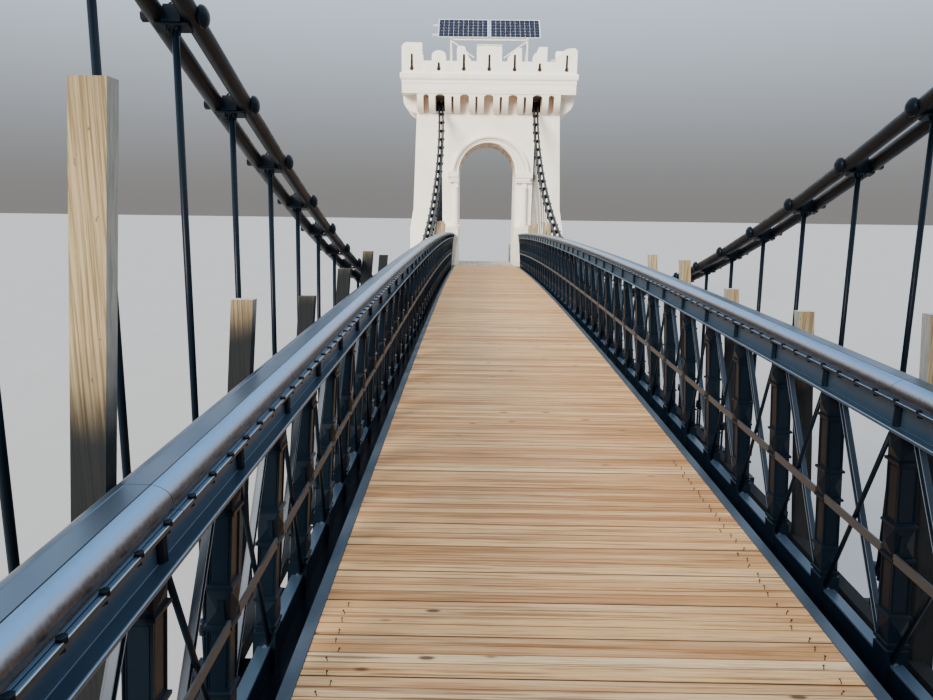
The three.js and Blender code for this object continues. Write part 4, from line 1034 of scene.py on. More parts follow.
# Backstays: the same twin cables run down from the saddles to a socketed plate on each block.
for end_name, end in ENDS:
    for side_name, side in SIDES:
        stay = bmesh.new()
        for shift in (-CABLE_SPACING / 2, CABLE_SPACING / 2):
            points = [(shift, *on_saddle(BACK_TURN * i / 8)) for i in range(9)]
            round_run(stay, [*points, (shift, ANCHOR_Y, ANCHOR_Z)], CABLE_RADIUS, 16)
            away = Vector((0, math.cos(BACK_TURN), -math.sin(BACK_TURN)))
            socket_end = Vector((shift, ANCHOR_Y, ANCHOR_Z))
            for reach, radius in SOCKET_STEPS:
                round_run(stay, [socket_end - away * reach, socket_end], radius, 14)
        plate_shape = bmesh.new()
        slab(plate_shape, (-ANCHOR_PLATE_HALF, -0.025, -ANCHOR_PLATE_HALF),
             (ANCHOR_PLATE_HALF, 0.025, ANCHOR_PLATE_HALF))
        for x in (-ANCHOR_BOLT_OFF, ANCHOR_BOLT_OFF):
            for z in (-ANCHOR_BOLT_OFF, ANCHOR_BOLT_OFF):
                plate(plate_shape, hexagon(NUT_RADIUS, x, z), -0.045, -0.024, (0, 2, 1))
        into(stay, plate_shape, Matrix.Translation((0, ANCHOR_Y, ANCHOR_Z)) @ Matrix.Rotation(
            -BACK_TURN, 4, "X"))
        for share in STAY_CLAMP_SHARES:
            y, z = on_saddle(BACK_TURN)
            place = Vector((0, y + (ANCHOR_Y - y) * share, z + (ANCHOR_Z - z) * share))
            into(stay, clamp(-side * end), Matrix.Translation(place) @ Matrix.Rotation(-BACK_TURN, 4, "X"))
        turn = Matrix.Rotation(math.pi, 4, "Z") if end < 0 else Matrix.Identity(4)
        bmesh.ops.transform(stay, matrix=Matrix.Translation((side * CABLE_TOWER_X, 0, 0)) @ turn,
                            verts=stay.verts)
        new_piece(f"backstay_cables_{end_name}_{side_name}", mesh_of(stay, "backstay"), black_sheath,
                  "cable_black", f"backstay_{end_name}_{side_name}")
        dress(black_paint, f"saddle_{end_name}_{side_name}")

# Deck: narrow larch boards laid across the bridge in sets of one wide and three slim ones, with an open
# joint between sets, sprung over the camber; one nail holds each near its ends, some not driven home.
DECK_END_Y = 13.48
SET_COUNT = 109
SET_LENGTH = 2 * DECK_END_Y / SET_COUNT
SET_START = SET_LENGTH / 2 - DECK_END_Y
BOARD_EDGES = (0.0, 0.079, 0.136, 0.190, SET_LENGTH)
FINE_JOINT = 0.0016
OPEN_JOINT = 0.0046
BOARD_THICK = 0.045
BOARD_HALF_LENGTH = 1.0497
NAIL_ROW_X = 0.941
NAIL_IN = 0.006
# The nails stand proud only up to here on each side; further on they are driven home
LAST_NAIL_Y = {"left": -8.34, "right": -6.66}

larch = Coat("oiled larch boards", Specular_IOR_Level=0.22)
set_share = (larch.axis("Y") - SET_START) / SET_LENGTH
set_number = math.floor(set_share)
set_place = (set_share - set_number) * SET_LENGTH
board_number = set_number * 4.0
for edge in BOARD_EDGES[1:-1]:
    board_number = board_number + (set_place > edge)
board_tone = larch.node("ShaderNodeTexWhiteNoise", {"noise_dimensions": "1D"}, {"W": board_number}, "Value")
grain_shift = larch.node("ShaderNodeCombineXYZ", {}, {0: board_tone * 37.0, 1: board_tone * 91.0})


def along_grain(*stretch):
    """The place on a board, stretched along its grain and shifted from board to board."""
    return larch.node("ShaderNodeVectorMath", {"operation": "ADD"}, {0: larch.place(stretch), 1: grain_shift})


board_grain = larch.clouds(3.0, 8.0, 0.62, along_grain(0.35, 19.0, 19.0))
board_broad = larch.clouds(1.6, 4.0, 0.6, along_grain(0.45, 9.0, 9.0))
fine_grain = larch.clouds(3.0, 5.0, 0.6, along_grain(1.1, 70.0, 70.0))
knot_gap = larch.node("ShaderNodeTexVoronoi", {"feature": "F1"}, {
    "Vector": along_grain(2.2, 6.0, 6.0), "Scale": 1.0})
knots = 1 - larch.between(knot_gap, 0.04, 0.10)
board_colour = larch.ramp(board_tone, [
    (0.0, (0.44, 0.205, 0.075)), (0.3, (0.70, 0.39, 0.165)), (0.6, (0.82, 0.50, 0.225)),
    (0.85, (0.56, 0.28, 0.11)), (1.0, (0.93, 0.67, 0.37)),
])
fine_gap = abs(set_place - BOARD_EDGES[1])
for edge in BOARD_EDGES[2:-1]:
    fine_gap = fine_gap.lesser(abs(set_place - edge))
open_gap = set_place.lesser(SET_LENGTH - set_place)
fine_soil = 1 - larch.between(fine_gap, 0.0008, 0.0045)
open_soil = 1 - larch.between(open_gap, 0.0024, 0.0075)
# painted shade: faces turned away from the top, the boards' sides and edges, are painted dark brown
board_side_shade = 1 - larch.between(larch.facing("Z"), 0.4, 0.9)
larch.set(
    Base_Color=larch.laid(
        board_colour,
        (larch.between(board_grain, 0.50, 0.62) * 0.85, (0.27, 0.12, 0.045)),
        (larch.between(board_broad, 0.50, 0.66) * 0.35, (0.95, 0.72, 0.43)),
        (larch.between(fine_grain, 0.50, 0.60) * 0.5, (0.36, 0.17, 0.065)),
        (knots * 0.9, (0.09, 0.042, 0.02)),
        (fine_soil * (board_tone * 0.45 + 0.1), (0.13, 0.06, 0.025)),
        (open_soil * (board_tone * 0.5 + 0.35), (0.09, 0.04, 0.018)),
        (board_side_shade * 0.85, (0.05, 0.025, 0.012)),
    ),
    Roughness=board_grain * 0.25 + 0.50,
    Normal=larch.bump(board_grain, 0.55, 0.004),
)


def board_set(edges):
    """The boards between these edges, measured along the deck from the start of their set."""
    shape = bmesh.new()
    for low, high in zip(edges, edges[1:]):
        near = low + (OPEN_JOINT if low == edges[0] else FINE_JOINT) / 2
        far = high - (OPEN_JOINT if high == edges[-1] else FINE_JOINT) / 2
        slab(shape, (-BOARD_HALF_LENGTH, near, -BOARD_THICK), (BOARD_HALF_LENGTH, far, 0.0))
    return soften(mesh_of(shape, "boards"), 0.0012, 1)


def plain_paint(name, dark, pale, roughness, scale=5.0, detail=4.0, spread=0.2, **steady):
    """A paint or bare metal that drifts gently between two tones, duller where it is paler."""
    coat = Coat(name, **steady)
    drift = coat.clouds(scale, detail)
    coat.set(Base_Color=coat.mix(drift, dark, pale), Roughness=drift * spread + roughness)
    return coat


half_set = SET_LENGTH / 2
deck_boards = joined("boards", [
    set_out(board_set(BOARD_EDGES), larch, SET_COUNT - 1, SET_START, SET_LENGTH, 0.0, 0.0),
    set_out(board_set((half_set, BOARD_EDGES[3], SET_LENGTH)), larch, 1, SET_START - SET_LENGTH,
            0.0, 0.0, 0.0),
    set_out(board_set((0.0, BOARD_EDGES[1], half_set)), larch, 1, DECK_END_Y - half_set, 0.0, 0.0, 0.0),
])
new_piece("deck_boards", deck_boards, larch, "larch", "deck_planking")
nail_iron = plain_paint("dark nail iron", (0.02, 0.018, 0.017), (0.07, 0.05, 0.04), 0.35, 80.0,
                        spread=0.3, Metallic=0.7)
nail = bmesh.new()
round_run(nail, [(0, 0, -0.004), (0, 0, 0.013), (0.002, 0.001, 0.020)], 0.0019, 5)
round_run(nail, [(0.002, 0.001, 0.020), (0.0023, 0.0012, 0.0222)], 0.0045, 6)
nail_mesh = mesh_of(nail, "nail")
nail_meshes = []
for side_name, side in SIDES:
    nailed_sets = int((LAST_NAIL_Y[side_name] - SET_START) / SET_LENGTH) + 1
    for row, edge in enumerate(BOARD_EDGES[:-1]):
        nail_meshes.append(set_out(
            nail_mesh.copy(), nail_iron, nailed_sets, SET_START + edge + NAIL_IN, SET_LENGTH,
            side * NAIL_ROW_X, -0.004, Side_Stray=0.024, Spin=1.0, Tip=0.35, Seed=30 + 4 * side + row))
new_piece("deck_nails", joined("nails", nail_meshes), nail_iron, "larch")

# Deck frame and edge angles: black cross beams hang from the rods and carry one middle stringer;
# a blue-grey steel angle closes the boards' ends on each side.
edge_paint = Coat("blue grey edge paint", Metallic=0.55)
edge_drift = edge_paint.clouds(2.5, 6.0)
edge_dust = edge_paint.clouds(30.0, 4.0)
edge_paint.set(
    Base_Color=edge_paint.mix(edge_dust * 0.7, (0.07, 0.105, 0.145), (0.115, 0.15, 0.185)),
    Roughness=edge_drift * 0.3 + 0.30,
    Normal=edge_paint.bump(edge_drift, 0.15, 0.004),
)
dress(black_paint, "deck_frame")
dress(edge_paint, "deck_edge_angle_left", "deck_edge_angle_right")

# Railings: riveted iron trusses. Square cast posts with panelled sides lean in from an angle beside the deck
# to a box-shaped upper chord; each bay has a two-ribbed brace crossed by a dark round one, and a flat bar
# runs at mid height. A thin black plate is put under the trough along the deck's edge as the shade below it.
RAIL_X = 1.165
POST_LEAN = 0.069
POST_HALF = 0.0415
CHORD_TOP = 1.0497
CHORD_FOOT = 0.9467
CHORD_WEB_HALF = 0.056
CHORD_FLANGE_HALF = 0.098
LOWER_WEB_X = 1.205
LOWER_FLANGE_X = 1.257
POST_FOOT = -0.125
SHADE_PLATE_X = 1.02
MID_RAIL_HEIGHT = 0.445
FLANGE_THICK = 0.012
LOWER_CHORD_FOOT = -0.1297
BRACE_SETBACK = 0.058
BRACE_OUT = 0.012
RIB_SPREAD = 0.0135
DARK_BRACE_OUT = -0.018
DARK_BRACE_TOP = 0.90
CLIP_HEIGHT = 0.50
CHORD_BOLT_X = 0.085
RAIL_END = 13.45
STATION_COUNT = round(4 * RAIL_END / BAY)
RAIL_STATIONS = [-RAIL_END + 2 * RAIL_END * i / STATION_COUNT for i in range(STATION_COUNT + 1)]
TRUSSES = {name: [f"railing_truss_{name}_{i}" for i in (1, 2, 3)] for name, _ in SIDES}


def post_across(height):
    """How far the middle of a post is from the deck's middle at a height over the deck."""
    return RAIL_X + POST_LEAN * (CHORD_FOOT - height)


def panelled_post(side):
    """A square cast post from the lower chord to the upper: ringed blocks with raised diamonds at its
    head, middle and foot, and long panels with a fine bead between them."""
    shape = bmesh.new()
    shaft = POST_HALF - 0.004
    levels = [(POST_FOOT, POST_HALF + 0.003), (0.055, POST_HALF + 0.003), (0.060, shaft)]
    for ring in (0.078, 0.198, 0.432, 0.566, 0.812, 0.930):
        levels += [(ring - 0.009, shaft), (ring - 0.005, POST_HALF + 0.004),
                   (ring + 0.005, POST_HALF + 0.004), (ring + 0.009, shaft)]
    levels += [(CHORD_FOOT - 0.004, shaft), (CHORD_FOOT + 0.002, POST_HALF)]
    corners = ((-1, -1), (1, -1), (1, 1), (-1, 1))
    rings = [[shape.verts.new((sx * half + side * (post_across(z) - RAIL_X), sy * half, z))
              for sx, sy in corners] for z, half in levels]
    long_panels, diamonds = [], []
    for (low_z, low_half), (high_z, high_half), low, high in zip(levels, levels[1:], rings, rings[1:]):
        for i in range(4):
            face = shape.faces.new((low[i], low[(i + 1) % 4], high[(i + 1) % 4], high[i]))
            if low_half == high_half == shaft and high_z - low_z > 0.16:
                long_panels.append(face)
            elif low_half == high_half == shaft and high_z - low_z > 0.08:
                diamonds.append(face)
    shape.faces.new(list(reversed(rings[0])))
    shape.faces.new(rings[-1])
    bmesh.ops.inset_individual(shape, faces=diamonds, thickness=0.007, depth=-0.001)
    bmesh.ops.poke(shape, faces=diamonds, offset=0.013)
    for width, depth in ((0.006, 0.0), (0.002, -0.004), (0.006, 0.0), (0.0014, 0.0022), (0.0014, -0.0022)):
        bmesh.ops.inset_individual(shape, faces=long_panels, thickness=width, depth=depth)
    return mesh_of(shape, "post")


def box_section(inner, foot, outer, top):
    return [(inner, foot), (outer, foot), (outer, top), (inner, top)]


def swept_rail(name, sections, stations, across, mirrored):
    """Closed sections of (across, over the deck) carried along the deck at the stations."""
    shape = bmesh.new()
    for section in sections:
        rings = [[shape.verts.new((across + mirrored * a, y, deck_height(y) + h)) for a, h in section]
                 for y in stations]
        made = skin(shape, rings) + [shape.faces.new(rings[0]), shape.faces.new(rings[-1])]
        bmesh.ops.recalc_face_normals(shape, faces=made)
    return mesh_of(shape, name)


def flat_bar(shape, low, high, width, thick):
    """A flat bar in the plane of a railing, its wide side facing the deck."""
    start, stop = Vector(low), Vector(high)
    along = (stop - start).normalized()
    across = Vector((1, 0, 0)).cross(along).normalized()
    out = Vector((thick / 2, 0, 0))
    corners = []
    for place in (start, stop):
        corners.append([shape.verts.new(place + across * (a * width / 2) + out * b)
                        for a, b in ((-1, -1), (1, -1), (1, 1), (-1, 1))])
    made = skin(shape, corners) + [shape.faces.new(corners[0]), shape.faces.new(corners[1])]
    bmesh.ops.recalc_face_normals(shape, faces=made)


hex_bolt = bmesh.new()
plate(hex_bolt, hexagon(0.0105), 0.0, 0.010, (0, 1, 2))
hex_bolt_mesh = mesh_of(hex_bolt, "bolt")
strip_outline = [(-0.016, 0.0), (-0.016, -0.006), (-0.011, -0.014), (0.0, -0.018), (0.011, -0.014),
                 (0.016, -0.006), (0.016, 0.0)]

# painted reflection: the lower chord's flange and the foot pins are black iron painted blue for the sky's
# sheen on them
flange_sky_sheen_paint = plain_paint("black flange with painted sky sheen", (0.030, 0.058, 0.095), (0.055, 0.092, 0.135), 0.26,
                           Metallic=0.35)
navy_paint = plain_paint("dark navy brace paint", (0.010, 0.022, 0.042), (0.020, 0.038, 0.065), 0.35,
                         Specular_IOR_Level=0.4)
# painted reflection: the middle rail's black paint is lightened to grey brown for the deck reflected in it
bar_deck_reflection_paint = plain_paint("black bar with painted deck reflection", (0.030, 0.033, 0.038), (0.055, 0.056, 0.060), 0.32, 6.0,
                        Specular_IOR_Level=0.35)
# painted sheen: the chord's navy-black paint is lifted to blue-grey for the sky's sheen, and painted
# highlights run on top of the flange at its outer edge and beside the web
chord_paint = Coat("navy chord with painted sheen", Metallic=0.35)
chord_drift = chord_paint.clouds(4.0, 5.0)
chord_off = abs(abs(chord_paint.axis("X")) - RAIL_X)
edge_highlight = (chord_off > 0.0935) + (chord_off > 0.0565) * (chord_off < 0.0600)
edge_highlight = edge_highlight * (chord_paint.facing("Z") > 0.5)
chord_paint.set(
    Base_Color=chord_paint.laid(
        (0.022, 0.050, 0.086),
        (chord_drift, (0.048, 0.088, 0.135)),
        (edge_highlight * 0.8, (0.27, 0.37, 0.48)),
    ),
    Roughness=chord_drift * 0.2 + 0.24,
)
# painted highlight: the ribs' sides are painted pale blue for the light they catch; faces towards and away
# from the deck keep a dark navy
rib_highlight_paint = Coat("rib paint with painted highlight", Metallic=0.4)
rib_drift = rib_highlight_paint.clouds(5.0, 4.0)
rib_edge = abs(rib_highlight_paint.facing("X")) > 0.7
rib_highlight_paint.set(
    Base_Color=rib_highlight_paint.mix(rib_edge, (0.016, 0.030, 0.052), rib_highlight_paint.mix(
        rib_drift, (0.17, 0.25, 0.36), (0.26, 0.35, 0.47))),
    Roughness=rib_drift * 0.2 + 0.28,
)

for side_name, side in SIDES:
    stand_for = TRUSSES[side_name]
    lines = SIDE_LINES[side_name]
    post_meshes = [set_out(panelled_post(side), black_paint, BAYS + 1, lines[0], BAY, side * RAIL_X, 0.0,
                           Lean=0.0)]
    post_meshes += [set_out(panelled_post(side), black_paint, 1, y, BAY, side * RAIL_X, 0.0, Lean=0.0)
                    for y in (-RAIL_END + POST_HALF, RAIL_END - POST_HALF)]
    new_piece(f"railing_posts_{side_name}", joined("posts", post_meshes), black_paint, "black_iron",
              *stand_for)
    chord = swept_rail("upper chord", [
        box_section(-CHORD_WEB_HALF, CHORD_FOOT + FLANGE_THICK, CHORD_WEB_HALF, CHORD_TOP),
        box_section(-CHORD_FLANGE_HALF, CHORD_FOOT, CHORD_FLANGE_HALF, CHORD_FOOT + FLANGE_THICK),
    ], RAIL_STATIONS, side * RAIL_X, 1)
    new_piece(f"upper_chord_{side_name}", soften(chord, 0.0015, 1, 0.9), chord_paint, "black_iron",
              *stand_for)
    lower_web = swept_rail("lower chord web", [
        box_section(LOWER_WEB_X, LOWER_CHORD_FOOT, LOWER_WEB_X + 0.010, -FLANGE_THICK),
    ], RAIL_STATIONS, 0.0, side)
    new_piece(f"lower_chord_web_{side_name}", lower_web, black_paint, "black_iron", *stand_for)
    # a dark sheet under the gap between the deck's edge and the lower chord, standing in for the shade below
    # the deck
    shade_plate = swept_rail("shade plate", [
        box_section(SHADE_PLATE_X, LOWER_CHORD_FOOT, LOWER_WEB_X, -0.122),
    ], RAIL_STATIONS, 0.0, side)
    new_piece(f"chord_foot_plate_{side_name}", shade_plate, black_paint, "black_iron")
    lower_flange = swept_rail("lower chord flange", [
        box_section(LOWER_WEB_X, -FLANGE_THICK, LOWER_FLANGE_X, 0.0),
    ], RAIL_STATIONS, 0.0, side)
    new_piece(f"lower_chord_flange_{side_name}", soften(lower_flange, 0.0015, 1, 0.9), flange_sky_sheen_paint,
              "black_iron", *stand_for)
    ribs, webs, dark, middle, clips, pins = (bmesh.new() for _ in range(6))
    for k in range(BAYS):
        near_y, far_y = lines[k] + BRACE_SETBACK, lines[k + 1] - BRACE_SETBACK
        top_y, foot_y = (far_y, near_y) if k < BAYS / 2 else (near_y, far_y)
        top_z, foot_z = deck_height(top_y) + CHORD_FOOT, deck_height(foot_y)
        top_x = side * (post_across(CHORD_FOOT) + BRACE_OUT)
        foot_x = side * (post_across(0.0) + BRACE_OUT)
        flat_bar(webs, (foot_x, foot_y, foot_z), (top_x, top_y, top_z), 0.030, 0.005)
        for shift in (-RIB_SPREAD, RIB_SPREAD):
            flat_bar(ribs, (foot_x - side * 0.011, foot_y + shift, foot_z),
                     (top_x - side * 0.011, top_y + shift, top_z), 0.0045, 0.018)
        dark_top = Vector((side * (post_across(DARK_BRACE_TOP) + DARK_BRACE_OUT), foot_y,
                           deck_height(foot_y) + DARK_BRACE_TOP))
        dark_foot = Vector((side * (post_across(0.0) + DARK_BRACE_OUT), top_y + (foot_y - top_y) * -0.06,
                            deck_height(top_y) + 0.005))
        round_run(dark, [dark_foot, dark_top], 0.0095, 8)
        start_y, stop_y = lines[k] + POST_HALF, lines[k + 1] - POST_HALF
        rail_x = side * (post_across(MID_RAIL_HEIGHT) - POST_HALF + 0.004)
        flat_bar(middle, (rail_x, start_y, deck_height(start_y) + MID_RAIL_HEIGHT),
                 (rail_x, stop_y, deck_height(stop_y) + MID_RAIL_HEIGHT), 0.036, 0.008)
        for y, outward in ((start_y, 1), (stop_y, -1)):
            z = deck_height(y) + CLIP_HEIGHT
            x = side * (post_across(CLIP_HEIGHT) - 0.012)
            slab(clips, (x - 0.009, y, z - 0.033), (x + 0.009, y + outward * 0.007, z + 0.033))
            z = deck_height(y)
            x = side * (post_across(0.0) - 0.005)
            round_run(pins, [(x, y, z), (x, y + outward * 0.012, z)], 0.0095, 10)
    new_piece(f"brace_ribs_{side_name}", mesh_of(ribs, "ribs"), rib_highlight_paint, "black_iron", *stand_for)
    new_piece(f"brace_webs_{side_name}", mesh_of(webs, "webs"), navy_paint, "black_iron", *stand_for)
    new_piece(f"dark_braces_{side_name}", mesh_of(dark, "braces"), black_paint, "black_iron")
    new_piece(f"middle_rail_{side_name}", mesh_of(middle, "middle rail"), bar_deck_reflection_paint, "black_iron")
    new_piece(f"rail_clips_{side_name}", mesh_of(clips, "clips"), black_paint, "black_iron")
    new_piece(f"foot_pins_{side_name}", mesh_of(pins, "pins"), flange_sky_sheen_paint, "black_iron")
    strips = []
    for face in (-1, 1):
        strip = bmesh.new()
        plate(strip, [(y, face * (CHORD_WEB_HALF - x)) for y, x in strip_outline], 0.0,
              CHORD_TOP - CHORD_FOOT - FLANGE_THICK - 0.001, (1, 0, 2))
        bmesh.ops.recalc_face_normals(strip, faces=strip.faces)
        strips.append(set_out(mesh_of(strip, "strip"), black_paint, BAYS + 1, lines[0] - 0.04, BAY,
                              side * RAIL_X, CHORD_FOOT + FLANGE_THICK, Lean=0.0))
        strips.append(set_out(hex_bolt_mesh.copy(), black_paint, 4 * BAYS, lines[0] + BAY / 8, BAY / 4,
                              side * RAIL_X + face * CHORD_BOLT_X, CHORD_TOP - 0.0105))
    new_piece(f"chord_strips_{side_name}", joined("strips", strips), black_paint, "black_iron")

# Rail caps: rolled steel caps in two-bay lengths, rounded towards and away from the deck with a creased flat
# on top, bolted down through a flange on each side. Graphite paint with a soft sheen, its colour painted with
# the sky's blue reflection, highlights and shade.
CAP_SECTION = (
    (0.098, 0.0), (0.098, 0.0095), (0.0965, 0.0105), (0.0865, 0.0105), (0.0858, 0.0085), (0.0842, 0.0085),
    (0.0835, 0.0105), (0.069, 0.012), (0.0725, 0.017), (0.0755, 0.026), (0.0750, 0.036), (0.0710, 0.046),
    (0.0630, 0.055), (0.052, 0.062), (0.040, 0.067), (0.0305, 0.0696), (0.029, 0.0684), (0.0272, 0.0698),
)
CAP_FOOT = 1.05
CAP_GAP = 0.0012
CAP_BOLT_X = 0.0910
FLAT_HALF = 0.0272
CREASE_OUTER = 0.0308
ROUND_HALF = 0.0765
cap_paint = Coat("graphite rail cap with painted sheen and shade", Metallic=0.85, Coat_Weight=0.3, Coat_Roughness=0.35)
cap_drift = cap_paint.clouds(4.0, 6.0)
cap_spray = cap_paint.clouds(1.0, 3.0, 0.5, cap_paint.place((3.0, 0.8, 3.0)))
cap_grain = cap_paint.clouds(90.0, 3.0)
cap_side = abs(cap_paint.axis("X"))
cap_off = abs(cap_side - RAIL_X)
# painted shade: the crease is painted near black
crease_shade = (cap_side > RAIL_X - CREASE_OUTER) * (cap_side < RAIL_X - FLAT_HALF)
# a warm pale band low on the round, partly overspray and partly painted highlight
warm_highlight_and_spray = cap_paint.between(cap_off + cap_spray * 0.010, 0.060, 0.077)
# painted shade: the round turns dark brown towards its foot
round_foot_shade = cap_paint.between(cap_off + cap_grain * 0.007 + cap_spray * 0.006, 0.0725, 0.0850)
# painted reflection: blue base tones stand for the sky's sheen on the graphite; the flat top is painted a
# darker blue-grey
cap_sheen_and_shade_colour = cap_paint.laid(
    (0.13, 0.27, 0.45),
    (cap_drift, (0.21, 0.38, 0.60)),
    ((cap_side > RAIL_X - FLAT_HALF) * 0.88, (0.072, 0.104, 0.142)),
    (crease_shade, (0.006, 0.008, 0.012)),
    (warm_highlight_and_spray * 0.85, (0.36, 0.31, 0.28)),
    (round_foot_shade, (0.055, 0.044, 0.037)),
)
# painted sheen and shade on the flanges: light blue on top for the sky, a pale highlight line at the outer
# edge, the upright edge painted dark
flange_sheen_and_shade_colour = cap_paint.mix(cap_off > 0.0945, (0.10, 0.19, 0.30), (0.30, 0.40, 0.50))
flange_sheen_and_shade_colour = cap_paint.mix(cap_paint.facing("Z") > 0.5, (0.018, 0.032, 0.055), flange_sheen_and_shade_colour)
cap_paint.set(
    Base_Color=cap_paint.mix(cap_off > ROUND_HALF, cap_sheen_and_shade_colour, flange_sheen_and_shade_colour),
    Roughness=cap_drift * 0.25 + 0.28,
    Normal=cap_paint.bump(cap_grain * 0.3 + cap_drift * 0.7, 0.1, 0.003),
)
full_section = list(CAP_SECTION) + [(-a, h) for a, h in reversed(CAP_SECTION)]
for side_name, side in SIDES:
    cap_meshes = []
    lines = SIDE_LINES[side_name]
    seams = [-RAIL_END] + [lines[k] for k in range(1, BAYS, 2)] + [RAIL_END]
    for start, stop in zip(seams, seams[1:]):
        stations = [start + CAP_GAP + (stop - start - 2 * CAP_GAP) * i / 4 for i in range(5)]
        cap_meshes.append(swept_rail("cap", [[(a, h + CAP_FOOT) for a, h in full_section]], stations,
                                     side * RAIL_X, 1))
    cap_mesh = joined("rail cap", cap_meshes)
    for polygon in cap_mesh.polygons:
        polygon.use_smooth = abs(polygon.normal.y) < 0.9
    cap_mesh.set_sharp_from_angle(angle=0.5)
    new_piece(f"rail_cap_lengths_{side_name}", cap_mesh, cap_paint, "rail_cap", f"rail_cap_{side_name}")
    bolts = [set_out(hex_bolt_mesh.copy(), black_paint, 4 * BAYS, lines[0] + BAY / 8, BAY / 4,
                     side * RAIL_X + face * CAP_BOLT_X, CAP_FOOT + 0.0065) for face in (-1, 1)]
    new_piece(f"cap_bolts_{side_name}", joined("cap bolts", bolts), black_paint, "black_iron")

# Timber posts: rough planks left standing outside the railings on a ledger along the beams, grey brown from
# the weather, with black overspray low down where the ironwork was painted. Their faces turned across the
# bridge are painted pale blue-grey and their tops pale, as light falls on them.
old_timber = Coat("weathered plank", Roughness=0.86, Specular_IOR_Level=0.15)
plank_grain = old_timber.clouds(2.0, 8.0, 0.65, old_timber.place((62.0, 62.0, 1.1)))
plank_stain = old_timber.clouds(1.8, 5.0)
plank_specks = old_timber.clouds(55.0, 3.0, 0.7, old_timber.place((1.0, 1.0, 0.5)))
plank_colour = old_timber.ramp(old_timber.between(plank_grain, 0.38, 0.62), [
    (0.0, (0.17, 0.125, 0.065)), (0.45, (0.31, 0.24, 0.135)), (1.0, (0.43, 0.345, 0.21)),
])
# painted light: faces turned across the bridge are painted pale blue-grey for the sky's light on them
plank_side_sky_light = abs(old_timber.facing("X")) > 0.7
# painted light: the tops are painted pale
plank_top_light = old_timber.facing("Z") > 0.8
plank_y = old_timber.axis("Y") / HALF_SPAN
over_deck = old_timber.axis("Z") - (DECK_END_Z + CAMBER) + plank_y * plank_y * CAMBER
sprayed_here = (old_timber.axis("X") < 0.0) * (old_timber.axis("Y") < 0.0)
spray = 1 - old_timber.between(over_deck + plank_stain * 0.3 + (1 - sprayed_here) * 0.42, 1.33, 1.60)
old_timber.set(
    Base_Color=old_timber.laid(
        plank_colour,
        (old_timber.between(plank_stain, 0.5, 0.75) * 0.5, (0.28, 0.225, 0.14)),
        (old_timber.between(plank_specks, 0.68, 0.74) * 0.7, (0.06, 0.05, 0.045)),
        (plank_side_sky_light * 0.55, (0.36, 0.41, 0.44)),
        (plank_top_light, (0.54, 0.51, 0.44)),
        (spray * 0.985, (0.010, 0.013, 0.017)),
    ),
    Normal=old_timber.bump(plank_grain, 0.5, 0.006),
)
dress(old_timber, "timber_posts_left", "timber_posts_right")

# Solar panels: dark blue cells under glass with a white grid, in pale aluminium frames, tilted on
# galvanised rails and posts over the far tower's terrace, with a white cabinet below.
PANEL_WIDTH = 1.715
PANEL_LENGTH = 1.03
PANEL_THICK = 0.04
PANEL_TILT = math.radians(46)
PANEL_GAP = 0.05
PANEL_MID_Z = 10.975
CELL_COLUMNS = 10
CELL_ROWS = 6
FRAME_LIP = 0.02
CELL_GAP = 0.005
CELL_CHOP = 0.009
CELL_MARGIN = 0.01

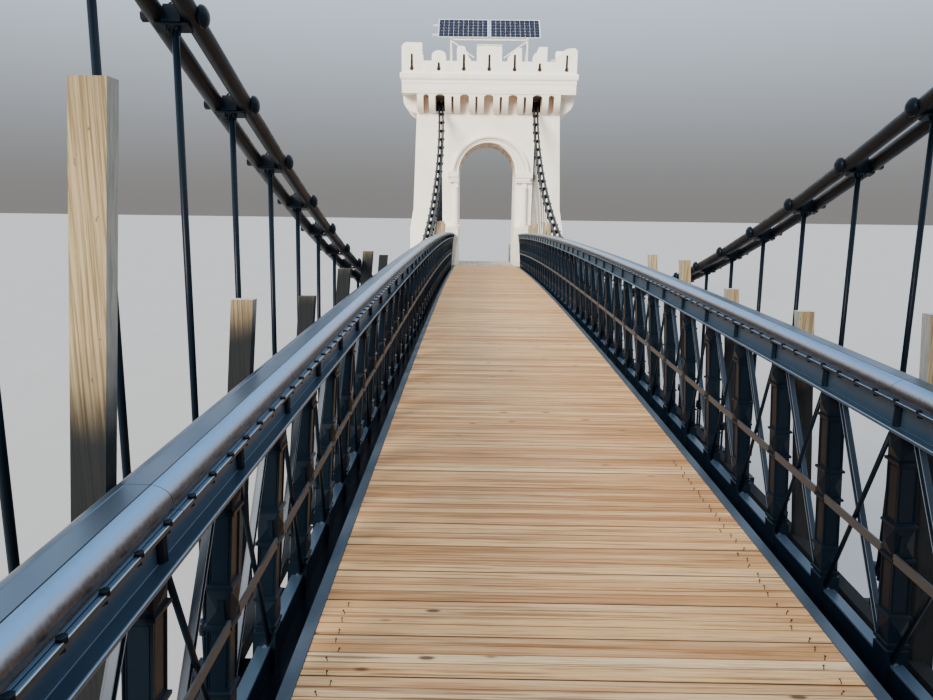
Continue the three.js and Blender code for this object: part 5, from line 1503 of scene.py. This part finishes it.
aluminium = plain_paint("pale aluminium", (0.78, 0.80, 0.82), (0.88, 0.89, 0.90), 0.3, 12.0,
                        Metallic=0.85)
cell_glass = Coat("dark blue cells", Roughness=0.3, Specular_IOR_Level=0.15)
cell_drift = cell_glass.clouds(30.0, 3.0)
cell_glass.set(Base_Color=cell_glass.mix(cell_drift, (0.004, 0.006, 0.018), (0.010, 0.014, 0.036)))
backing = Coat("white backing sheet", Roughness=0.35)
backing_drift = backing.clouds(8.0)
backing.set(Base_Color=backing.mix(backing_drift, (0.74, 0.77, 0.82), (0.82, 0.84, 0.87)))
for side_name, side in SIDES:
    panel = bmesh.new()
    half_w, half_l, half_t = PANEL_WIDTH / 2, PANEL_LENGTH / 2, PANEL_THICK / 2
    inner_w, inner_l = half_w - FRAME_LIP, half_l - FRAME_LIP
    for edge in (-1, 1):
        slab(panel, (-half_w, edge * inner_l, -half_t), (half_w, edge * half_l, half_t))
    for edge in (-1, 1):
        slab(panel, (edge * inner_w, -inner_l, -half_t), (edge * half_w, inner_l, half_t))
    frame_faces = len(panel.faces)
    slab(panel, (-inner_w, -inner_l, half_t - 0.012), (inner_w, inner_l, half_t - 0.006))
    sheet_faces = len(panel.faces)
    cell_w = (PANEL_WIDTH - 2 * FRAME_LIP - 2 * CELL_MARGIN) / CELL_COLUMNS
    cell_l = (PANEL_LENGTH - 2 * FRAME_LIP - 2 * CELL_MARGIN) / CELL_ROWS
    for column in range(CELL_COLUMNS):
        for row in range(CELL_ROWS):
            x = -half_w + FRAME_LIP + CELL_MARGIN + (column + 0.5) * cell_w
            y = -half_l + FRAME_LIP + CELL_MARGIN + (row + 0.5) * cell_l
            a, b = cell_w / 2 - CELL_GAP / 2, cell_l / 2 - CELL_GAP / 2
            cell = [(x - a + CELL_CHOP, y - b), (x + a - CELL_CHOP, y - b), (x + a, y - b + CELL_CHOP),
                    (x + a, y + b - CELL_CHOP), (x + a - CELL_CHOP, y + b), (x - a + CELL_CHOP, y + b),
                    (x - a, y + b - CELL_CHOP), (x - a, y - b + CELL_CHOP)]
            plate(panel, cell, half_t - 0.006, half_t - 0.004, (0, 1, 2))
    bmesh.ops.transform(panel, verts=panel.verts, matrix=(
        Matrix.Translation((0, TOWER_MIDDLE, PANEL_MID_Z)) @ Matrix.Rotation(PANEL_TILT, 4, "X")
        @ Matrix.Translation((side * (PANEL_WIDTH + PANEL_GAP) / 2, 0, 0))))
    panel.faces.ensure_lookup_table()
    for i, face in enumerate(panel.faces):
        face.material_index = 0 if i < frame_faces else 1 if i < sheet_faces else 2
    panel_mesh = mesh_of(panel, "panel")
    for coat in (aluminium, backing, cell_glass):
        panel_mesh.materials.append(coat.material)
    new_piece(f"solar_cells_{side_name}", panel_mesh, None, "solar_cells", f"solar_panel_{side_name}")
tube_steel = plain_paint("pale galvanised tube", (0.66, 0.65, 0.60), (0.78, 0.77, 0.72), 0.45, 9.0,
                         Metallic=0.3)
dress(tube_steel, "solar_frame")

# Cabinet: a white steel enclosure on the terrace behind the middle merlon, with a folded lid and a
# grey-green band under it.
LID_BAND = (10.375, 10.425)

cabinet_paint = Coat("white cabinet paint", Roughness=0.42)
cabinet_height = cabinet_paint.axis("Z")
in_lid_band = (cabinet_height > LID_BAND[0]) * (cabinet_height < LID_BAND[1])
cabinet_drift = cabinet_paint.clouds(5.0)
cabinet_white = cabinet_paint.mix(cabinet_drift, (0.86, 0.87, 0.84), (0.92, 0.92, 0.89))
cabinet_paint.set(Base_Color=cabinet_paint.mix(in_lid_band * 0.8, cabinet_white, (0.42, 0.45, 0.36)))
dress(cabinet_paint, "cabinet")

model_box = [list(corner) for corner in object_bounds()]
{"cad": cad_box, "visual": model_box}
